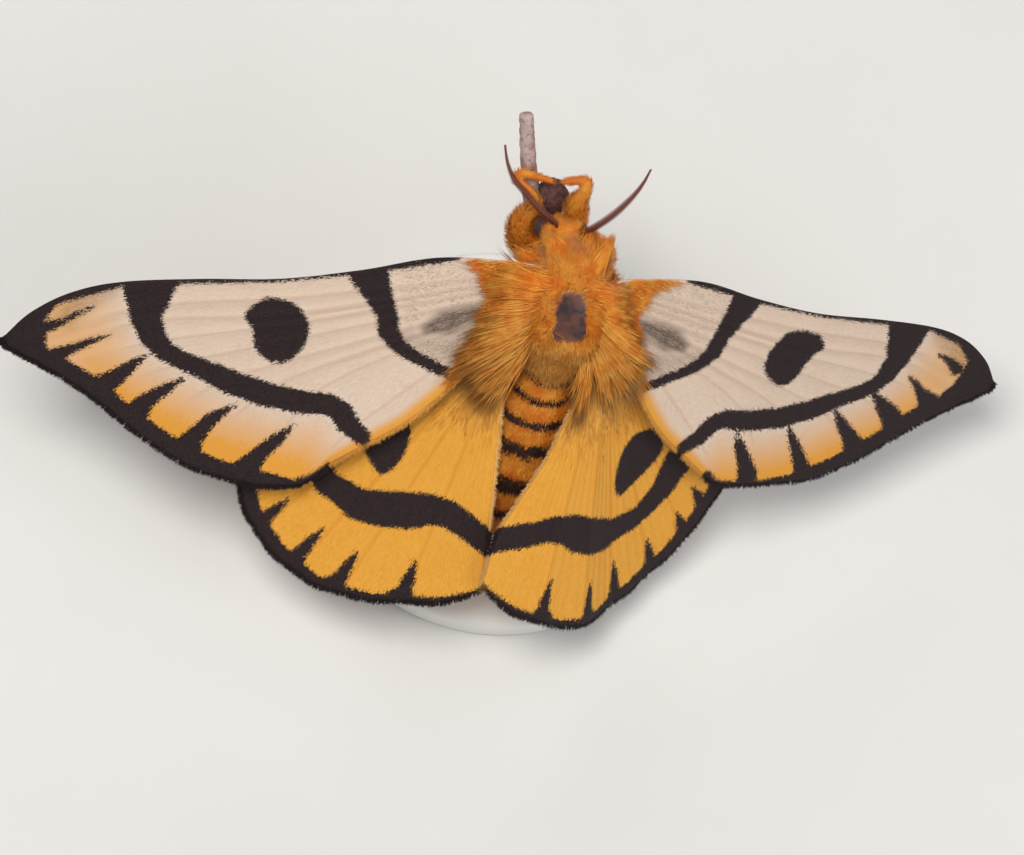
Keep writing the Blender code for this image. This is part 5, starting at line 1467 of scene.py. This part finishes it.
def fluff_finish(name, first, second, inner):
    """Hair in one wing's own colour, paler or warmer at the inner edge, and black where its wing is black."""
    material, tree, shader = new_material(name, 0.65, Specular_IOR_Level=0.2)
    marks = kept_on(tree, "coat_marks")
    split = add_node(tree, "ShaderNodeSeparateColor", {0: marks.outputs["Color"]})
    strand = kept_on(tree, "strand")
    lot = add_node(tree, "ShaderNodeSeparateColor", {0: strand.outputs["Color"]}).outputs["Green"]
    colour = mix_of(tree, lot, first, second)
    colour = mix_of(tree, split.outputs["Green"], colour, inner)
    colour = mix_of(tree, split.outputs["Red"], colour, tint(40, 29, 31))
    tree.links.new(colour, shader.inputs["Base Color"])
    return material


cream_fluff = fluff_finish("cream_fluff", tint(224, 200, 180), tint(240, 226, 212), tint(224, 160, 76))
gold_fluff = fluff_finish("gold_fluff", tint(228, 158, 56), tint(242, 188, 100), tint(232, 184, 112))
for (kind, side), (grid, flat, dark) in wing_grids.items():
    finish = cream_fluff if kind == "fore" else gold_fluff
    seed = 600 + (10 if kind == "hind" else 0) + (3 if side == "left" else 0)
    draw = np.random.default_rng(seed)
    rows, columns = grid.shape[:2]
    edges = [(np.arange(rows), np.full(rows, columns - 1)), (np.full(columns, rows - 1), np.arange(columns))]
    spines, outs, black, golden, unwrap = [], [], [], [], []
    for margin, (edge_rows, edge_columns) in enumerate(edges):
        line = grid[edge_rows, edge_columns]
        inner = grid[edge_rows - (2 if margin else 0), edge_columns - (0 if margin else 2)]
        count = 1200 if margin else 3200
        at = draw.uniform(0.16 if margin else 0, 1, count) * (len(line) - 1.001)
        low = at.astype(int)
        t = (at - low)[:, None]
        root = line[low] * (1 - t) + line[low + 1] * t
        away = unit(root - inner[low])
        run_on = unit(line[low + 1] - line[low])
        lie = unit(away + draw.normal(0, 0.25, (count, 3)) + (0.9 * run_on if margin else 0))
        length = draw.uniform(0.22, 0.5, count)
        shares = (-0.3, 0.25, 0.62, 1.0)
        spines.append(np.stack([root + lie * (length * share)[:, None] for share in shares], axis=1))
        outs.append(np.cross(run_on, away))
        black.append(step_between(0.1, -0.15, dark[edge_rows, edge_columns][low]))
        golden.append(np.full(count, float(margin)))
        unwrap.append(np.stack([within_sheet(at / len(line)), np.full(count, 0.3 + 0.4 * margin)], axis=1))
    spines = np.concatenate(spines)
    marks = np.zeros((len(spines), 4))
    marks[:, 0] = np.concatenate(black)
    marks[:, 1] = np.concatenate(golden)
    outs, unwrap = unit(np.concatenate(outs)), np.concatenate(unwrap)
    widths = draw.uniform(0.05, 0.08, len(spines))
    hair_piece(
        f"fringe_{kind}_{side}", spines, outs, widths, marks, np.zeros(len(spines)), unwrap, seed,
        finish, rings=(0, 2),
    )


def wing_hairs(name, kind, side, count, choose, lengths, rises, widths, seed, finish):
    """Hairs rooted on a wing's upper face where choose allows, lying outwards along it."""
    grid, flat, dark = wing_grids[kind, side]
    draw = np.random.default_rng(seed)
    rows, columns = grid.shape[:2]
    row = draw.uniform(0, rows - 1.01, count * 12)
    column = draw.uniform(1, columns - 5, count * 12)
    i, j = row.astype(int), column.astype(int)
    cell = np.linalg.norm(np.cross(grid[i + 1, j] - grid[i, j], grid[i, j + 1] - grid[i, j]), axis=1)
    chance = choose(flat[i, j], side) * cell
    keep = draw.uniform(size=len(chance)) < chance / np.quantile(chance[chance > 0], 0.9)
    picked = np.flatnonzero(keep)[:count]
    i, j, row, column = i[picked], j[picked], row[picked], column[picked]
    lie = unit(grid[i, j + 3] - grid[i, j])
    up = unit(np.cross(grid[i + 1, j] - grid[i, j], grid[i, j + 3] - grid[i, j]))
    up = np.where(up[:, 2:] < 0, -up, up)
    lie = unit(lie + 0.12 * draw.normal(size=lie.shape))
    root = grid[i, j] + (grid[i + 1, j] - grid[i, j]) * (row - i)[:, None] + up * MEMBRANE_HALF
    length = draw.uniform(*lengths, len(root))
    spines = lay_hairs(root, up, lie, length, draw.uniform(*rises, len(root)))
    marks = np.zeros((len(root), 4))
    if finish is not coat_finish:
        marks[:, 0] = step_between(0.05, -0.1, dark[i, j])
    unwrap = within_sheet(np.stack([row / rows, column / columns], axis=1))
    wide = draw.uniform(*widths, len(root))
    hair_piece(name, spines, up, wide, marks, np.zeros(len(root)), unwrap, seed, finish, rings=(0, 2))


SHOULDER_EDGE = {
    "left": ((-7.0, 3.0), (-4.0, 1.7), (-1.6, 1.2), (0.2, 2.0), (1.3, 3.4)),
    "right": ((-7.0, 2.8), (-4.0, 1.5), (-1.6, 0.4), (0.4, 1.0), (0.9, 2.4), (1.3, 3.6)),
}


def near_shoulder(flat, side):
    places, edges = zip(*SHOULDER_EDGE[side])
    edge = np.interp(flat[:, 1], places, edges)
    return step_between(edge + 0.5, edge - 0.3, flat[:, 0]) * (flat[:, 0] > -0.6)


def inner_field(flat, _):
    band = np.array(INNER_BAND["right"])[::-1]
    short_of = np.interp(flat[:, 1], band[:, 1], band[:, 0]) - 1.9
    inside = (flat[:, 0] > 1.2) * (flat[:, 0] < short_of) * (flat[:, 1] > -6.5)
    return inside * (stroke(flat, ROOT_SMUDGE) > 0.3)


def silky_field(flat, _):
    return step_between(9.0, 2.0, np.linalg.norm(flat, axis=1)) * (np.linalg.norm(flat, axis=1) > 1.0)


for side in ("left", "right"):
    seed = 700 + len(side)
    wing_hairs(
        f"shoulder_hair_{side}", "fore", side, 2600, near_shoulder, (0.8, 1.35), (0.15, 0.35),
        (0.05, 0.08), seed, coat_finish,
    )
    wing_hairs(
        f"cream_fluff_{side}", "fore", side, 1500, inner_field, (0.5, 0.9), (0.03, 0.07),
        (0.04, 0.06), seed + 10, cream_fluff,
    )
    wing_hairs(
        f"silky_hair_{side}", "hind", side, 2000, silky_field, (1.0, 2.0), (0.03, 0.08),
        (0.04, 0.06), seed + 20, gold_fluff,
    )
